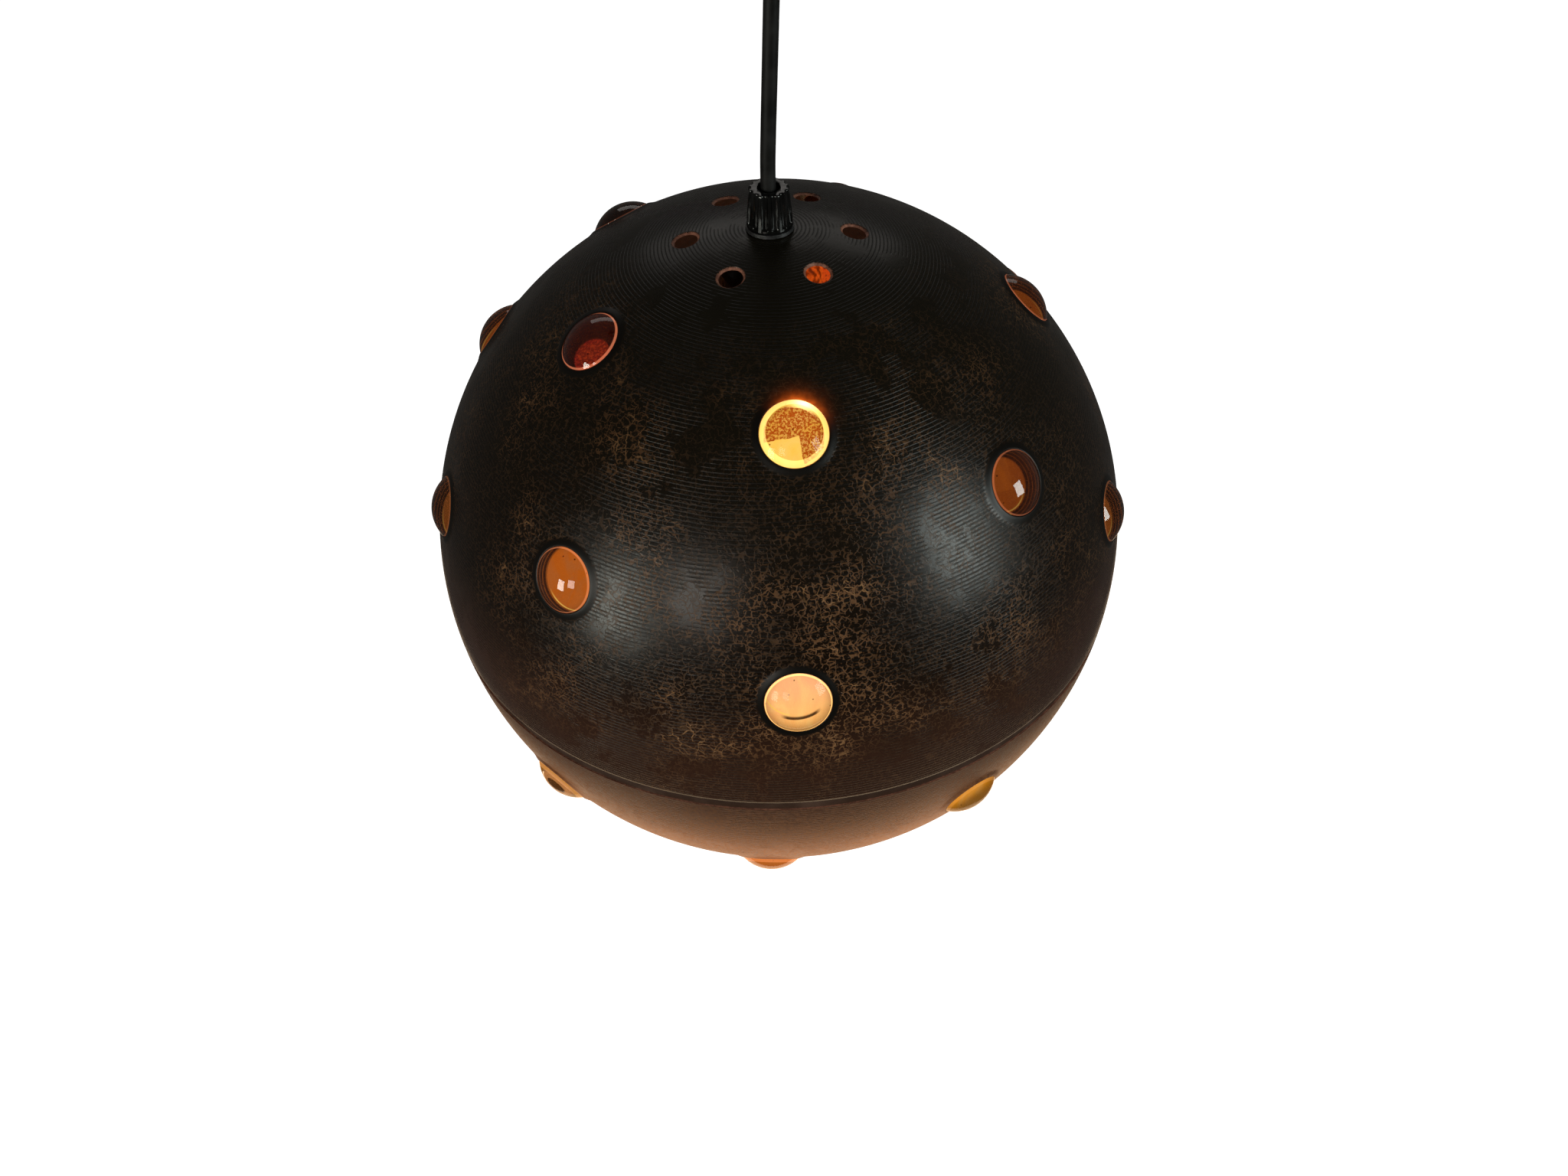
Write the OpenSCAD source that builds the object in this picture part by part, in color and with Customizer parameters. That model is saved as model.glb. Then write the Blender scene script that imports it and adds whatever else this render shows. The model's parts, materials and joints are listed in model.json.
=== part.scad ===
// Pendant lamp: a spun metal ball in two shells, studded with domed amber glass buttons,
// vented round the top, open at the bottom, hung by a black cord from a ceiling hook.
// Millimetres, +Z up. The origin is where the hook's collar meets the ceiling.
// The front of the lamp faces -Y. Longitudes count from the front towards +X.

/* [Ball] */
// Outer diameter of the ball
ball_d = 300; // [285:1:320]
// Thickness of the spun sheet
wall = 1; // [0.7:0.1:1.4]
// From the ceiling down to the top of the ball
hang = 210; // [206:1:214]
// How far the ball's axis hangs to the left of the hook
lean = 4; // [3.8:0.1:4.2]
// Height of the upper shell's lower edge below the middle of the ball
seam_drop = 14; // [8:1:20]
// Height of the open groove between the two shells
seam_gap = 5; // [3:0.5:7]
// Height of the lower shell's lip inside the upper shell
lip_h = 10; // [6:1:14]
// Play between the lip and the upper shell
lip_play = 0.3; // [0.3:0.1:0.6]
// Diameter of the light opening at the bottom
mouth_d = 180; // [150:1:190]
// Diameter of the bead rolled round the opening
bead_d = 4; // [3:0.5:6]

/* [Vents] */
// Number of vent holes round the top
vent_n = 6; // [4:1:8]
// Diameter of a vent hole
vent_d = 9.4; // [6:0.2:12]
// Width of the bare bevel round a vent hole
vent_bevel = 1.1; // [0.4:0.1:1.6]
// Radius of the ring that the vents stand on
vent_ring_r = 32.7; // [29:0.1:38]
// Turn of the vent ring, in degrees
vent_turn = 2.25; // [-15:0.25:15]

/* [Glass buttons] */
// Diameter of a glass button where it leaves the metal
glass_d = 24.8; // [20:0.2:28]
// Height of the dome above the metal
dome_h = 5.2; // [3:0.1:7]
// Thickness of the button's flange inside the ball
flange_t = 3; // [2:0.5:5]
// Width of the flange round the hole
flange_w = 2; // [1.5:0.1:3]
// Play between the glass and its hole
glass_play = 0.15; // [0.1:0.05:0.3]
// Flat width of the pressed collar's top
collar_top_w = 0.35; // [0.2:0.05:1]
// Width of the collar's slope
collar_w = 3.1; // [2.5:0.1:4]
// Height of the collar above its foot
collar_h = 1; // [0.6:0.1:1.4]
// Width of the cement bead behind the flange
cement_w = 2.4; // [1.5:0.1:3.5]

/* [Cord grip] */
// Diameter of the cord
cord_d = 5.8; // [5:0.1:6]
// Diameter of the grip at its base
grip_base_d = 18; // [15:0.5:20]
// Diameter of the grip at its top
grip_top_d = 15.5; // [14:0.5:17]
// Height of the grip
grip_h = 15; // [14:0.5:20]
// Number of flutes round the grip
flute_n = 14; // [8:1:14]
// Diameter of the cutter that makes a flute
flute_d = 2.6; // [1.5:0.1:3]
// Depth of a flute
flute_depth = 0.8; // [0.4:0.1:1]
// Diameter of the recess in the grip's top
grip_recess_d = 8.8; // [8.6:0.2:10.4]
// Depth of the recess in the grip's top
grip_recess_h = 3; // [1:0.5:5]
// Diameter of the washer under the grip
grip_washer_d = 18.8; // [18:0.2:24]
// Thickness of the washer under the grip
grip_washer_t = 1.5; // [0.5:0.1:1.8]

/* [Lampholder] */
// Outer diameter of the threaded tube
tube_d = 10; // [9.6:0.1:10.4]
// Bore of the threaded tube
tube_bore_d = 7; // [6.8:0.1:7.6]
// Height of the tube above the ball's top
tube_above = 10; // [8:0.5:10]
// Diameter of the washer inside the ball
washer_d = 34; // [28:1:40]
// Thickness of the washer inside the ball
washer_t = 1.5; // [1:0.1:2.5]
// Width of the lock nut across its flats
nut_af = 17; // [16:0.5:19]
// Height of the lock nut
nut_h = 5; // [4:0.5:7]
// Outer diameter of the holder
holder_d = 40; // [39:0.5:44]
// Height of the holder's cap
holder_cap_h = 24; // [22:0.5:28]
// Height of the holder's body below the cap
holder_body_h = 27; // [25:0.5:30]
// Wall of the holder
holder_wall = 2.6; // [2:0.1:3]
// Number of grip ribs round the cap
holder_rib_n = 20; // [12:1:30]

/* [Bulb] */
// Diameter of the bulb's globe
bulb_d = 60; // [50:1:68]
// Length of the bulb from its contact to its tip
bulb_l = 105; // [98:1:112]
// Crest diameter of the bulb's screw cap
bulb_cap_d = 25.8; // [25:0.1:26.2]
// Length of the screw cap
bulb_cap_l = 23; // [21:0.5:25]
// Thickness of the bulb's glass
bulb_wall = 0.8; // [0.5:0.1:1.5]
// Pitch of the screw
screw_pitch = 3.6; // [3:0.1:4]

/* [Ceiling end] */
// Diameter of the hook's wire
hook_wire_d = 4.5; // [4:0.1:5]
// Inner radius of the hook
hook_r = 8; // [7:0.1:9]
// Length of the hook's stem below its collar
stem_l = 9.5; // [9:0.5:12]
// Diameter of the hook's shank in the ceiling
shank_d = 5; // [4:0.1:6]
// Length of the hook's shank in the ceiling
shank_l = 25; // [15:1:40]
// Diameter of the hook's collar
hook_collar_d = 12; // [9:0.5:18]
// Thickness of the hook's collar
hook_collar_t = 2.5; // [1.5:0.1:4]
// Diameter of the ring's wire
ring_wire_d = 4; // [3:0.1:4.4]
// Inner radius of the ring that hangs on the hook
ring_r = 9; // [8.6:0.1:10]
// Hole in the hanging eye
eye_hole_d = 12; // [11:0.5:13]
// Width of the metal round the eye
eye_w = 4; // [3:0.1:4.5]
// Thickness of the eye plate
eye_t = 3; // [2:0.1:4]
// Diameter of the cord clamp
clamp_d = 18; // [17:0.5:20]
// Height of the cord clamp
clamp_h = 20; // [19:0.5:21]
// Diameter of the ceiling cup's rim
cup_d = 80; // [66:1:100]
// Height of the ceiling cup
cup_h = 88; // [87:1:92]
// Gap between the cup's rim and the ceiling
cup_gap = 12; // [11:0.5:16]
// Wall of the ceiling cup
cup_wall = 2; // [1.5:0.1:3]
// Outer diameter of the cup's neck
neck_d = 18; // [16:0.5:22]
// Height of the cup's neck
neck_h = 10; // [9:0.5:12]
// Bore of the cup's neck
neck_bore_d = 9; // [8.6:0.1:10]
// Diameter of the thumb screw's thread
thumb_d = 4; // [3:0.1:4.4]
// Diameter of the thumb screw's head
thumb_head_d = 9; // [7:0.5:9]

/* [Hidden] */
$fn = 96;
eps = 0.01;

// Places of the glass buttons: [latitude, longitude] in degrees, one row after another
row_a = [[53, 4], [58, -60], [54, -134], [45, 163], [46, 96]];
row_b = [[27, -37], [36, -104], [33, -172], [30, 125], [36, 47]];
row_c = [[15, 2], [18, -75], [15, -142], [12, 150], [16, 71]];
row_d = [[-23, -45], [-22, -115], [-20, 175], [-24, 104], [-20, 33]];
row_e = [[-40, -4], [-38, -80], [-41, -150], [-39, 140], [-41, 68]];
upper_places = concat(row_a, row_b, row_c);
lower_places = concat(row_d, row_e);
upper_glass = [for (row = ["a", "b", "c"], i = [1:5]) str("glass_", row, i)];
lower_glass = [for (row = ["d", "e"], i = [1:5]) str("glass_", row, i)];

// Play between pieces that turn or slide on each other, and between pieces that only touch
run_gap = 0.3;
seat_gap = 0.05;

ball_r = ball_d / 2;
inner_r = ball_r - wall;
mid_z = -hang - ball_r;

// Glass buttons and their pressed collars, measured from the middle of the ball
glass_r = glass_d / 2;
hole_r = glass_r + glass_play;
collar_top_r = hole_r + collar_top_w;
collar_foot_r = collar_top_r + collar_w;
collar_foot_z = sqrt(pow(ball_r, 2) - pow(collar_foot_r, 2));
collar_top_z = collar_foot_z + collar_h;
// The collar's cone runs on under the surface, so that it cuts the ball in one clean circle
cone_run = 0.5;
cone_slope = collar_w / collar_h;
flange_r = hole_r + flange_w;
dome_r = (pow(glass_r, 2) + pow(dome_h, 2)) / (2 * dome_h);
// The flange's shoulder lies under the collar's slope
shoulder_z = collar_top_z - wall - glass_play;
shoulder_drop = (flange_r - collar_top_r) / cone_slope;
flange_low_z = shoulder_z - shoulder_drop - flange_t;
// Drills start inside the sheet and end clear of the collars
drill_under = 5 * wall + 1;
drill_l = drill_under + wall + 5 * collar_h + 2;

// Seam between the shells, measured from the middle of the ball
lower_top_z = -seam_drop - seam_gap;
lip_r = sqrt(pow(inner_r, 2) - pow(seam_drop, 2)) - lip_play;
lip_overlap = 2.2;
lip_low_z = lower_top_z - lip_overlap;
lip_top_z = -seam_drop + lip_h;
mouth_r = mouth_d / 2;
mouth_z = -sqrt(pow(ball_r, 2) - pow(mouth_r, 2));
bead_r = bead_d / 2;
bead_proud = 0.3;

// Stack on the ball's axis, measured from the top of the ball
tube_r = tube_d / 2;
tube_hole_r = tube_r + 0.2;
washer_r = washer_d / 2;
washer_top = sqrt(pow(inner_r, 2) - pow(washer_r, 2)) - ball_r - seat_gap;
nut_top = washer_top - washer_t - seat_gap;
cap_top = nut_top - nut_h - seat_gap;
cap_low = cap_top - holder_cap_h;
body_low = cap_low - holder_body_h;
tube_in_cap = 6;
tube_low = cap_top - tube_in_cap;
holder_r = holder_d / 2;
cap_bore_r = holder_r - holder_wall;
body_r = cap_bore_r - 0.2;
body_bore_r = body_r - holder_wall;
cap_roof_t = 4;
spigot_h = 8;
insert_up = 4;
insert_top = cap_low + insert_up;
insert_t = 7;
contact_at = 7.5;
insert_low = insert_top - insert_t;
// The screw shell's crests clear the bulb's crests
shell_crest_r = bulb_cap_d / 2 + run_gap;
shell_sheet = 0.5;
thread_depth = 0.6;
contact_t = 0.8;
contact_rise = 1.2;
bulb_top = insert_low - contact_t - contact_rise - run_gap;
bulb_tip = bulb_top - bulb_l;
bulb_r = bulb_d / 2;
tip_h = 1.6;
insulator_h = 3.4;
bulb_cap_top = bulb_top - tip_h - insulator_h;
bulb_cap_low = bulb_cap_top - bulb_cap_l;
neck_r = bulb_cap_d / 2 - thread_depth;

grip_low = grip_washer_t + seat_gap + run_gap;
grip_top = grip_low + grip_h;
cord_r = cord_d / 2;
grip_bore_r = tube_bore_d / 2;

// Hook, ring and eye, measured from the ceiling. The hook's bowl and the eye lie in the Y-Z plane,
// the ring in the X-Z plane, so the lamp swings sideways on the hook and to and fro in the ring
hook_wire_r = hook_wire_d / 2;
bowl_r = hook_r + hook_wire_r;
bowl_z = -hook_collar_t - stem_l - bowl_r;
swing_side_z = bowl_z - bowl_r;
ring_wire_r = ring_wire_d / 2;
ring_mean_r = ring_r + ring_wire_r;
ring_z = swing_side_z + hook_wire_r + run_gap + ring_wire_r - ring_mean_r;
swing_fore_z = ring_z - ring_mean_r;
eye_hole_r = eye_hole_d / 2;
eye_z = swing_fore_z - (eye_hole_r - ring_wire_r - run_gap);
eye_r = eye_hole_r + eye_w;
clamp_r = clamp_d / 2;
clamp_top = eye_z - eye_r - 2;
clamp_low = clamp_top - clamp_h;
tang_w = 8;
tang_depth = 8;
cord_top = -78;
wire_r = 1.1;
wire_at = [4, 4.5];
wire_sunk = 6;
wire_rise = 11;
clamp_screw_r = 1.5;
clamp_screw_x = cord_r + clamp_screw_r + 1.1;
clamp_screw_z = clamp_low + 4.5;
cup_low = -cup_gap - cup_h;
thumb_z = cup_low + neck_h / 2;
thumb_boss_l = 3;

// Hand-chosen route of the cord: [x, z] from inside the threaded tube up into the clamp
cord_route = [
    [-4, -218], [-4, -206], [-4.2, -196], [-4.1, -184], [-3.5, -170], [-2.8, -156],
    [-2.1, -142], [-1.4, -128], [-0.8, -116], [-0.3, -106], [0, -96], [0, -87], [0, -78]
];
cord_sides = 12;

module in_ball() {
    translate([-lean, 0, mid_z]) children();
}

module at_top() {
    translate([-lean, 0, -hang]) children();
}

// Turns +Z towards a place on the ball
module aim(place) {
    rotate([0, 90 - place[0], place[1] - 90]) children();
}

// A tube of round section with its own bore, standing on z
module pipe(r, bore, z, h) {
    translate([0, 0, z]) difference() {
        cylinder(h = h, r = r);
        translate([0, 0, -1]) cylinder(h = h + 2, r = bore);
    }
}

// Solid cone of a pressed collar; sink lowers it by the sheet's thickness for the inner side
module collar_form(sink = 0) {
    foot = collar_foot_r + cone_run * cone_slope;
    translate([0, 0, -sink]) rotate_extrude() polygon([
        [0, collar_foot_z - cone_run],
        [foot, collar_foot_z - cone_run],
        [collar_top_r, collar_top_z],
        [0, collar_top_z]
    ]);
}

// The whole spun skin with its pressed collars, before it is parted at the seam
module skin(places) {
    difference() {
        union() {
            sphere(r = ball_r);
            for (place = places) aim(place) collar_form();
        }
        union() {
            sphere(r = inner_r);
            for (place = places) aim(place) collar_form(wall);
        }
        for (place = places) {
            aim(place) translate([0, 0, inner_r - drill_under]) cylinder(h = drill_l, r = hole_r);
        }
    }
}

module vent_cut() {
    bevel_h = 0.9 * wall;
    bevel_foot = ball_r - bevel_h;
    rise = bevel_h + 0.2 * wall;
    translate([0, 0, inner_r - drill_under]) cylinder(h = drill_l, r = vent_d / 2);
    translate([0, 0, bevel_foot]) cylinder(
        h = rise, r1 = vent_d / 2, r2 = vent_d / 2 + vent_bevel * rise / bevel_h
    );
}

module upper_shell() {
    vent_polar = asin(vent_ring_r / ball_r);
    color("#2b2019") in_ball() difference() {
        skin(upper_places);
        translate([0, 0, -seam_drop - ball_d]) cylinder(h = ball_d, r = ball_d);
        for (i = [0:vent_n - 1]) {
            rotate([0, vent_polar, vent_turn + i * 360 / vent_n]) vent_cut();
        }
        translate([0, 0, inner_r - drill_under]) cylinder(h = drill_l, r = tube_hole_r);
    }
}

module lower_shell() {
    edge_x = mouth_r / ball_r;
    edge_z = mouth_z / ball_r;
    bead_at = ball_r - bead_r + bead_proud;
    color("#4a3326") in_ball() {
        difference() {
            skin(lower_places);
            translate([0, 0, lower_top_z]) cylinder(h = ball_d, r = ball_d);
            translate([0, 0, mouth_z - ball_d]) cylinder(h = ball_d, r = ball_d);
        }
        pipe(lip_r, lip_r - wall, lip_low_z, lip_top_z - lip_low_z);
        rotate_extrude() translate([bead_at * edge_x, bead_at * edge_z]) circle(r = bead_r, $fn = 48);
    }
}

// One glass button: a dome, a shank through the hole and a flange behind the sheet
module glass_button(place) {
    color("#d9740f", 0.8) in_ball() aim(place) rotate_extrude() union() {
        polygon([
            [0, flange_low_z],
            [flange_r, flange_low_z],
            [flange_r, shoulder_z - shoulder_drop],
            [collar_top_r, shoulder_z],
            [glass_r, shoulder_z],
            [glass_r, collar_top_z],
            [0, collar_top_z]
        ]);
        intersection() {
            translate([0, collar_top_z + dome_h - dome_r]) circle(r = dome_r);
            translate([0, collar_top_z - eps]) square([glass_r, dome_h + 1]);
        }
    }
}

// Ring of cement that bonds each flange to the inside of its shell
module cement(places) {
    r1 = flange_r + seat_gap;
    r2 = r1 + cement_w;
    z1 = sqrt(pow(inner_r, 2) - pow(collar_foot_r, 2)) - seat_gap;
    z2 = sqrt(pow(inner_r, 2) - pow(r2, 2)) - 2 * seat_gap;
    for (place = places) {
        aim(place) rotate_extrude() polygon([
            [r1, flange_low_z + flange_t * 0.2],
            [r1 + cement_w * 0.5, flange_low_z + flange_t * 0.3],
            [r2 - cement_w * 0.15, z2 - cement_w * 0.5],
            [r2, z2 - 2 * seat_gap],
            [r1, min(z1, z2) - seat_gap]
        ]);
    }
}

module upper_cement() {
    color("#6f6a60") in_ball() cement(upper_places);
}

module lower_cement() {
    color("#6f6a60") in_ball() cement(lower_places);
}

module cord_grip() {
    r1 = grip_base_d / 2;
    r2 = grip_top_d / 2;
    tilt = atan((r1 - r2) / grip_h);
    foot_h = 1.2;
    edge = 0.6;
    cut_r = flute_d / 2;
    color("#111112") at_top() difference() {
        union() {
            translate([0, 0, grip_low]) cylinder(h = grip_h - edge, r1 = r1, r2 = r2);
            translate([0, 0, grip_top - edge]) cylinder(h = edge, r1 = r2, r2 = r2 - edge);
        }
        for (i = [0:flute_n - 1]) {
            rotate([0, 0, i * 360 / flute_n])
            translate([r1 + cut_r - flute_depth, 0, grip_low + foot_h])
            rotate([0, -tilt, 0]) cylinder(h = grip_h * 2, r = cut_r, $fn = 32);
        }
        translate([0, 0, grip_low - 1]) cylinder(h = tube_above + 1, r = tube_r + run_gap);
        cylinder(h = grip_top + 1, r = grip_bore_r);
        translate([0, 0, grip_top - grip_recess_h]) cylinder(h = grip_recess_h + 1, r = grip_recess_d / 2);
    }
}

module grip_washer() {
    color("#3a3a3c") at_top() pipe(grip_washer_d / 2, tube_hole_r, seat_gap, grip_washer_t);
}

module threaded_tube() {
    color("#b08d4a") at_top() pipe(tube_r, tube_bore_d / 2, tube_low, tube_above - tube_low);
}

module inner_washer() {
    color("#9a9ea3") at_top() pipe(washer_r, tube_hole_r, washer_top - washer_t, washer_t);
}

module lock_nut() {
    corner_r = nut_af / sqrt(3);
    chamfer = 0.6;
    color("#8b8f94") at_top() translate([0, 0, nut_top - nut_h]) difference() {
        intersection() {
            cylinder(h = nut_h, r = corner_r, $fn = 6);
            cylinder(h = nut_h, r1 = corner_r + nut_h - chamfer, r2 = corner_r - chamfer);
        }
        translate([0, 0, -1]) cylinder(h = nut_h + 2, r = tube_r + seat_gap);
    }
}

// Moulded top half of the holder, screwed on the threaded tube
module holder_cap() {
    shoulder_r = nut_af / sqrt(3) + 1;
    shoulder_h = 7;
    rib_cut_r = 0.9;
    color("#1a1512") at_top() difference() {
        rotate_extrude() polygon([
            [tube_r + seat_gap, cap_top],
            [shoulder_r - 1, cap_top],
            [shoulder_r, cap_top - 1],
            [holder_r - 1.5, cap_top - shoulder_h],
            [holder_r, cap_top - shoulder_h - 2],
            [holder_r, cap_low],
            [cap_bore_r, cap_low],
            [cap_bore_r, cap_top - shoulder_h - cap_roof_t],
            [shoulder_r, cap_top - cap_roof_t],
            [tube_r + seat_gap, cap_top - cap_roof_t]
        ]);
        for (i = [0:holder_rib_n - 1]) {
            rotate([0, 0, i * 360 / holder_rib_n])
            translate([holder_r + rib_cut_r * 0.4, 0, cap_low - 1])
            cylinder(h = holder_cap_h - shoulder_h - 3, r = rib_cut_r, $fn = 24);
        }
    }
}

// Moulded lower half of the holder, with the rings that a shade ring would screw on
module holder_body() {
    ring_n = 5;
    ring_step = 3;
    ring_low = body_low + 5;
    flange_h = 2;
    color("#1a1512") at_top() difference() {
        union() {
            translate([0, 0, cap_low - 1]) cylinder(h = spigot_h + 1, r = body_r);
            translate([0, 0, body_low]) cylinder(h = holder_body_h - seat_gap, r = holder_r - 0.8);
            for (i = [0:ring_n - 1]) {
                translate([0, 0, ring_low + i * ring_step]) cylinder(h = ring_step / 2, r = holder_r);
            }
            translate([0, 0, body_low]) cylinder(h = flange_h, r = holder_r + 0.6);
        }
        translate([0, 0, body_low - 1]) cylinder(h = holder_body_h + spigot_h + 2, r = body_bore_r);
    }
}

// Porcelain disc that carries the contacts
module holder_insert() {
    slot_r = 2.2;
    color("#e8e2d6") at_top() difference() {
        translate([0, 0, insert_low]) cylinder(h = insert_t, r = body_bore_r - seat_gap);
        for (side = [-1, 1]) {
            translate([side * contact_at, 0, insert_low - 1]) cylinder(h = insert_t + 2, r = slot_r);
        }
    }
}

// Pressed screw shell: a thin wall of round rings, one to each turn of the screw
module screw_shell() {
    rim_h = 3;
    top = insert_low - seat_gap;
    low = body_low + rim_h;
    n = floor((top - low) / screw_pitch);
    step = (top - low) / n;
    r = shell_crest_r;
    outer = [for (i = [0:4 * n]) [r + shell_sheet + wave(i), low + i * step / 4]];
    inner = [for (i = [4 * n:-1:0]) [r + wave(i), low + i * step / 4]];
    color("#c9b074") at_top() rotate_extrude() polygon(concat(outer, inner));
}

// Height of the thread's wave at each quarter of a turn: root, slope, crest, slope
function wave(i) = thread_depth * [1, 0.5, 0, 0.5][i % 4];

// Brass tongue from one of the screws to the middle, with the pip that meets the bulb
module centre_contact() {
    tongue_w = 6;
    tongue_tail = 2.5;
    tongue_past = 6;
    tongue_l = contact_at + tongue_tail + tongue_past;
    pip_r = 2.8;
    z = insert_low - seat_gap - contact_t;
    color("#c8a24a") at_top() {
        translate([-contact_at - tongue_tail, -tongue_w / 2, z]) cube([tongue_l, tongue_w, contact_t]);
        translate([0, 0, z - contact_rise]) cylinder(h = contact_rise + eps, r1 = pip_r - 1.2, r2 = pip_r);
    }
}

// Two screws that fasten the contacts and grip the wires
module contact_screws() {
    screw_r = 1.7;
    head_r = 3.2;
    head_h = 2.4;
    slot_w = 0.8;
    color("#c8a24a") at_top() for (side = [-1, 1]) {
        translate([side * contact_at, 0, insert_low]) cylinder(h = insert_t + 0.5, r = screw_r);
        translate([side * contact_at, 0, insert_top + seat_gap]) difference() {
            cylinder(h = head_h, r = head_r);
            translate([-head_r - 1, -slot_w / 2, head_h - 0.8]) cube([2 * head_r + 2, slot_w, 1]);
        }
    }
}

// Half outline of the bulb's glass, drawn in by inset: a ball that sweeps into a narrow neck
function bulb_half(inset) =
    let (
        r = bulb_r - inset,
        centre_z = bulb_tip + bulb_r,
        shoulder = [r * cos(45), centre_z + r * sin(45)],
        neck = [neck_r - 0.3 - inset, bulb_cap_low - seat_gap]
    )
    concat(
        [for (i = [0:24]) let (a = -90 + 135 * i / 24) [r * cos(a), centre_z + r * sin(a)]],
        [
            for (i = [1:10]) let (t = i / 10) [
                neck[0] + (shoulder[0] - neck[0]) * pow(1 - t, 1.9),
                shoulder[1] + (neck[1] - shoulder[1]) * t
            ]
        ]
    );

module bulb_glass() {
    outer = bulb_half(0);
    inner = bulb_half(bulb_wall);
    color("#fff3d6") at_top() rotate_extrude() polygon(
        concat(outer, [for (i = [len(inner) - 1:-1:0]) inner[i]])
    );
}

// Screw cap of the bulb, with round rings for its thread and a plain skirt
module bulb_cap() {
    skirt_h = 4;
    low = bulb_cap_low + skirt_h;
    n = floor((bulb_cap_top - low) / screw_pitch);
    step = (bulb_cap_top - low) / n;
    r = bulb_cap_d / 2;
    outline = [for (i = [0:4 * n]) [r - thread_depth + wave(i), low + i * step / 4]];
    color("#b9b4a6") at_top() rotate_extrude() polygon(concat(
        [[0, bulb_cap_low], [r - thread_depth, bulb_cap_low]],
        outline,
        [[0, bulb_cap_top]]
    ));
}

// Black glass cone and the solder point at the bulb's end
module bulb_insulator() {
    cone_r = 5;
    tip_r = 4.2;
    color("#2a2430") at_top() {
        translate([0, 0, bulb_cap_top + seat_gap])
        cylinder(h = insulator_h - seat_gap, r1 = neck_r - 1, r2 = cone_r);
        translate([0, 0, bulb_cap_top + insulator_h - eps]) cylinder(h = tip_h + eps, r1 = tip_r, r2 = 3);
    }
}

module cord() {
    n = len(cord_route);
    points = [
        for (i = [0:n - 1], k = [0:cord_sides - 1])
            let (
                before = cord_route[max(i - 1, 0)],
                after = cord_route[min(i + 1, n - 1)],
                run = after - before,
                side = [run[1], -run[0]] / norm(run),
                a = 360 * k / cord_sides
            )
            [
                cord_route[i][0] + cord_r * cos(a) * side[0],
                cord_r * sin(a),
                cord_route[i][1] + cord_r * cos(a) * side[1]
            ]
    ];
    walls = [
        for (i = [0:n - 2], k = [0:cord_sides - 1], half = [0, 1])
            let (
                p = i * cord_sides + k,
                q = i * cord_sides + (k + 1) % cord_sides,
                up = cord_sides
            )
            half == 0 ? [p, p + up, q] : [q, p + up, q + up]
    ];
    low_end = [for (k = [0:cord_sides - 1]) k];
    high_end = [for (k = [cord_sides - 1:-1:0]) (n - 1) * cord_sides + k];
    color("#161616") polyhedron(points = points, faces = concat(walls, [low_end, high_end]));
}

// Screw hook for the ceiling: a collar on a shank, a tapered stem and a bowl with a ball at its end
module ceiling_hook() {
    tip_l = 4;
    stem_top_r = hook_wire_r + 0.9;
    stem_low_r = hook_wire_r - 0.4;
    end_ball_r = hook_wire_r + 0.5;
    start_turn = 110;
    end_turn = -200;
    color("#8f9296") {
        cylinder(h = shank_l - tip_l, r = shank_d / 2);
        translate([0, 0, shank_l - tip_l - eps]) cylinder(h = tip_l + eps, r1 = shank_d / 2, r2 = 0.4);
        translate([0, 0, -hook_collar_t]) cylinder(h = hook_collar_t, r = hook_collar_d / 2);
        translate([0, 0, bowl_z + bowl_r])
        cylinder(h = stem_l + eps, r1 = stem_low_r, r2 = stem_top_r);
        translate([0, 0, bowl_z]) rotate([90, 0, 90]) {
            rotate([0, 0, end_turn]) rotate_extrude(angle = start_turn - end_turn)
                translate([bowl_r, 0]) circle(r = hook_wire_r, $fn = 48);
            rotate([0, 0, end_turn]) translate([bowl_r, 0, 0]) sphere(r = end_ball_r);
        }
    }
}

// Welded ring that joins the hook and the eye
module hanging_ring() {
    color("#9a9ea3") translate([0, 0, ring_z]) rotate([90, 0, 0])
    rotate_extrude() translate([ring_mean_r, 0]) circle(r = ring_wire_r, $fn = 48);
}

// Steel eye under the ring, with a tang let into the cord clamp
module hanging_eye() {
    tang_low = clamp_top - tang_depth;
    tang_h = eye_z - eye_hole_r - eye_w / 2 - tang_low;
    color("#a3a6aa") difference() {
        union() {
            translate([-eye_t / 2, 0, eye_z]) rotate([0, 90, 0]) cylinder(h = eye_t, r = eye_r);
            translate([-eye_t / 2, -tang_w / 2, tang_low]) cube([eye_t, tang_w, tang_h]);
        }
        translate([-eye_t, 0, eye_z]) rotate([0, 90, 0]) cylinder(h = eye_t * 2, r = eye_hole_r);
    }
}

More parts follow.
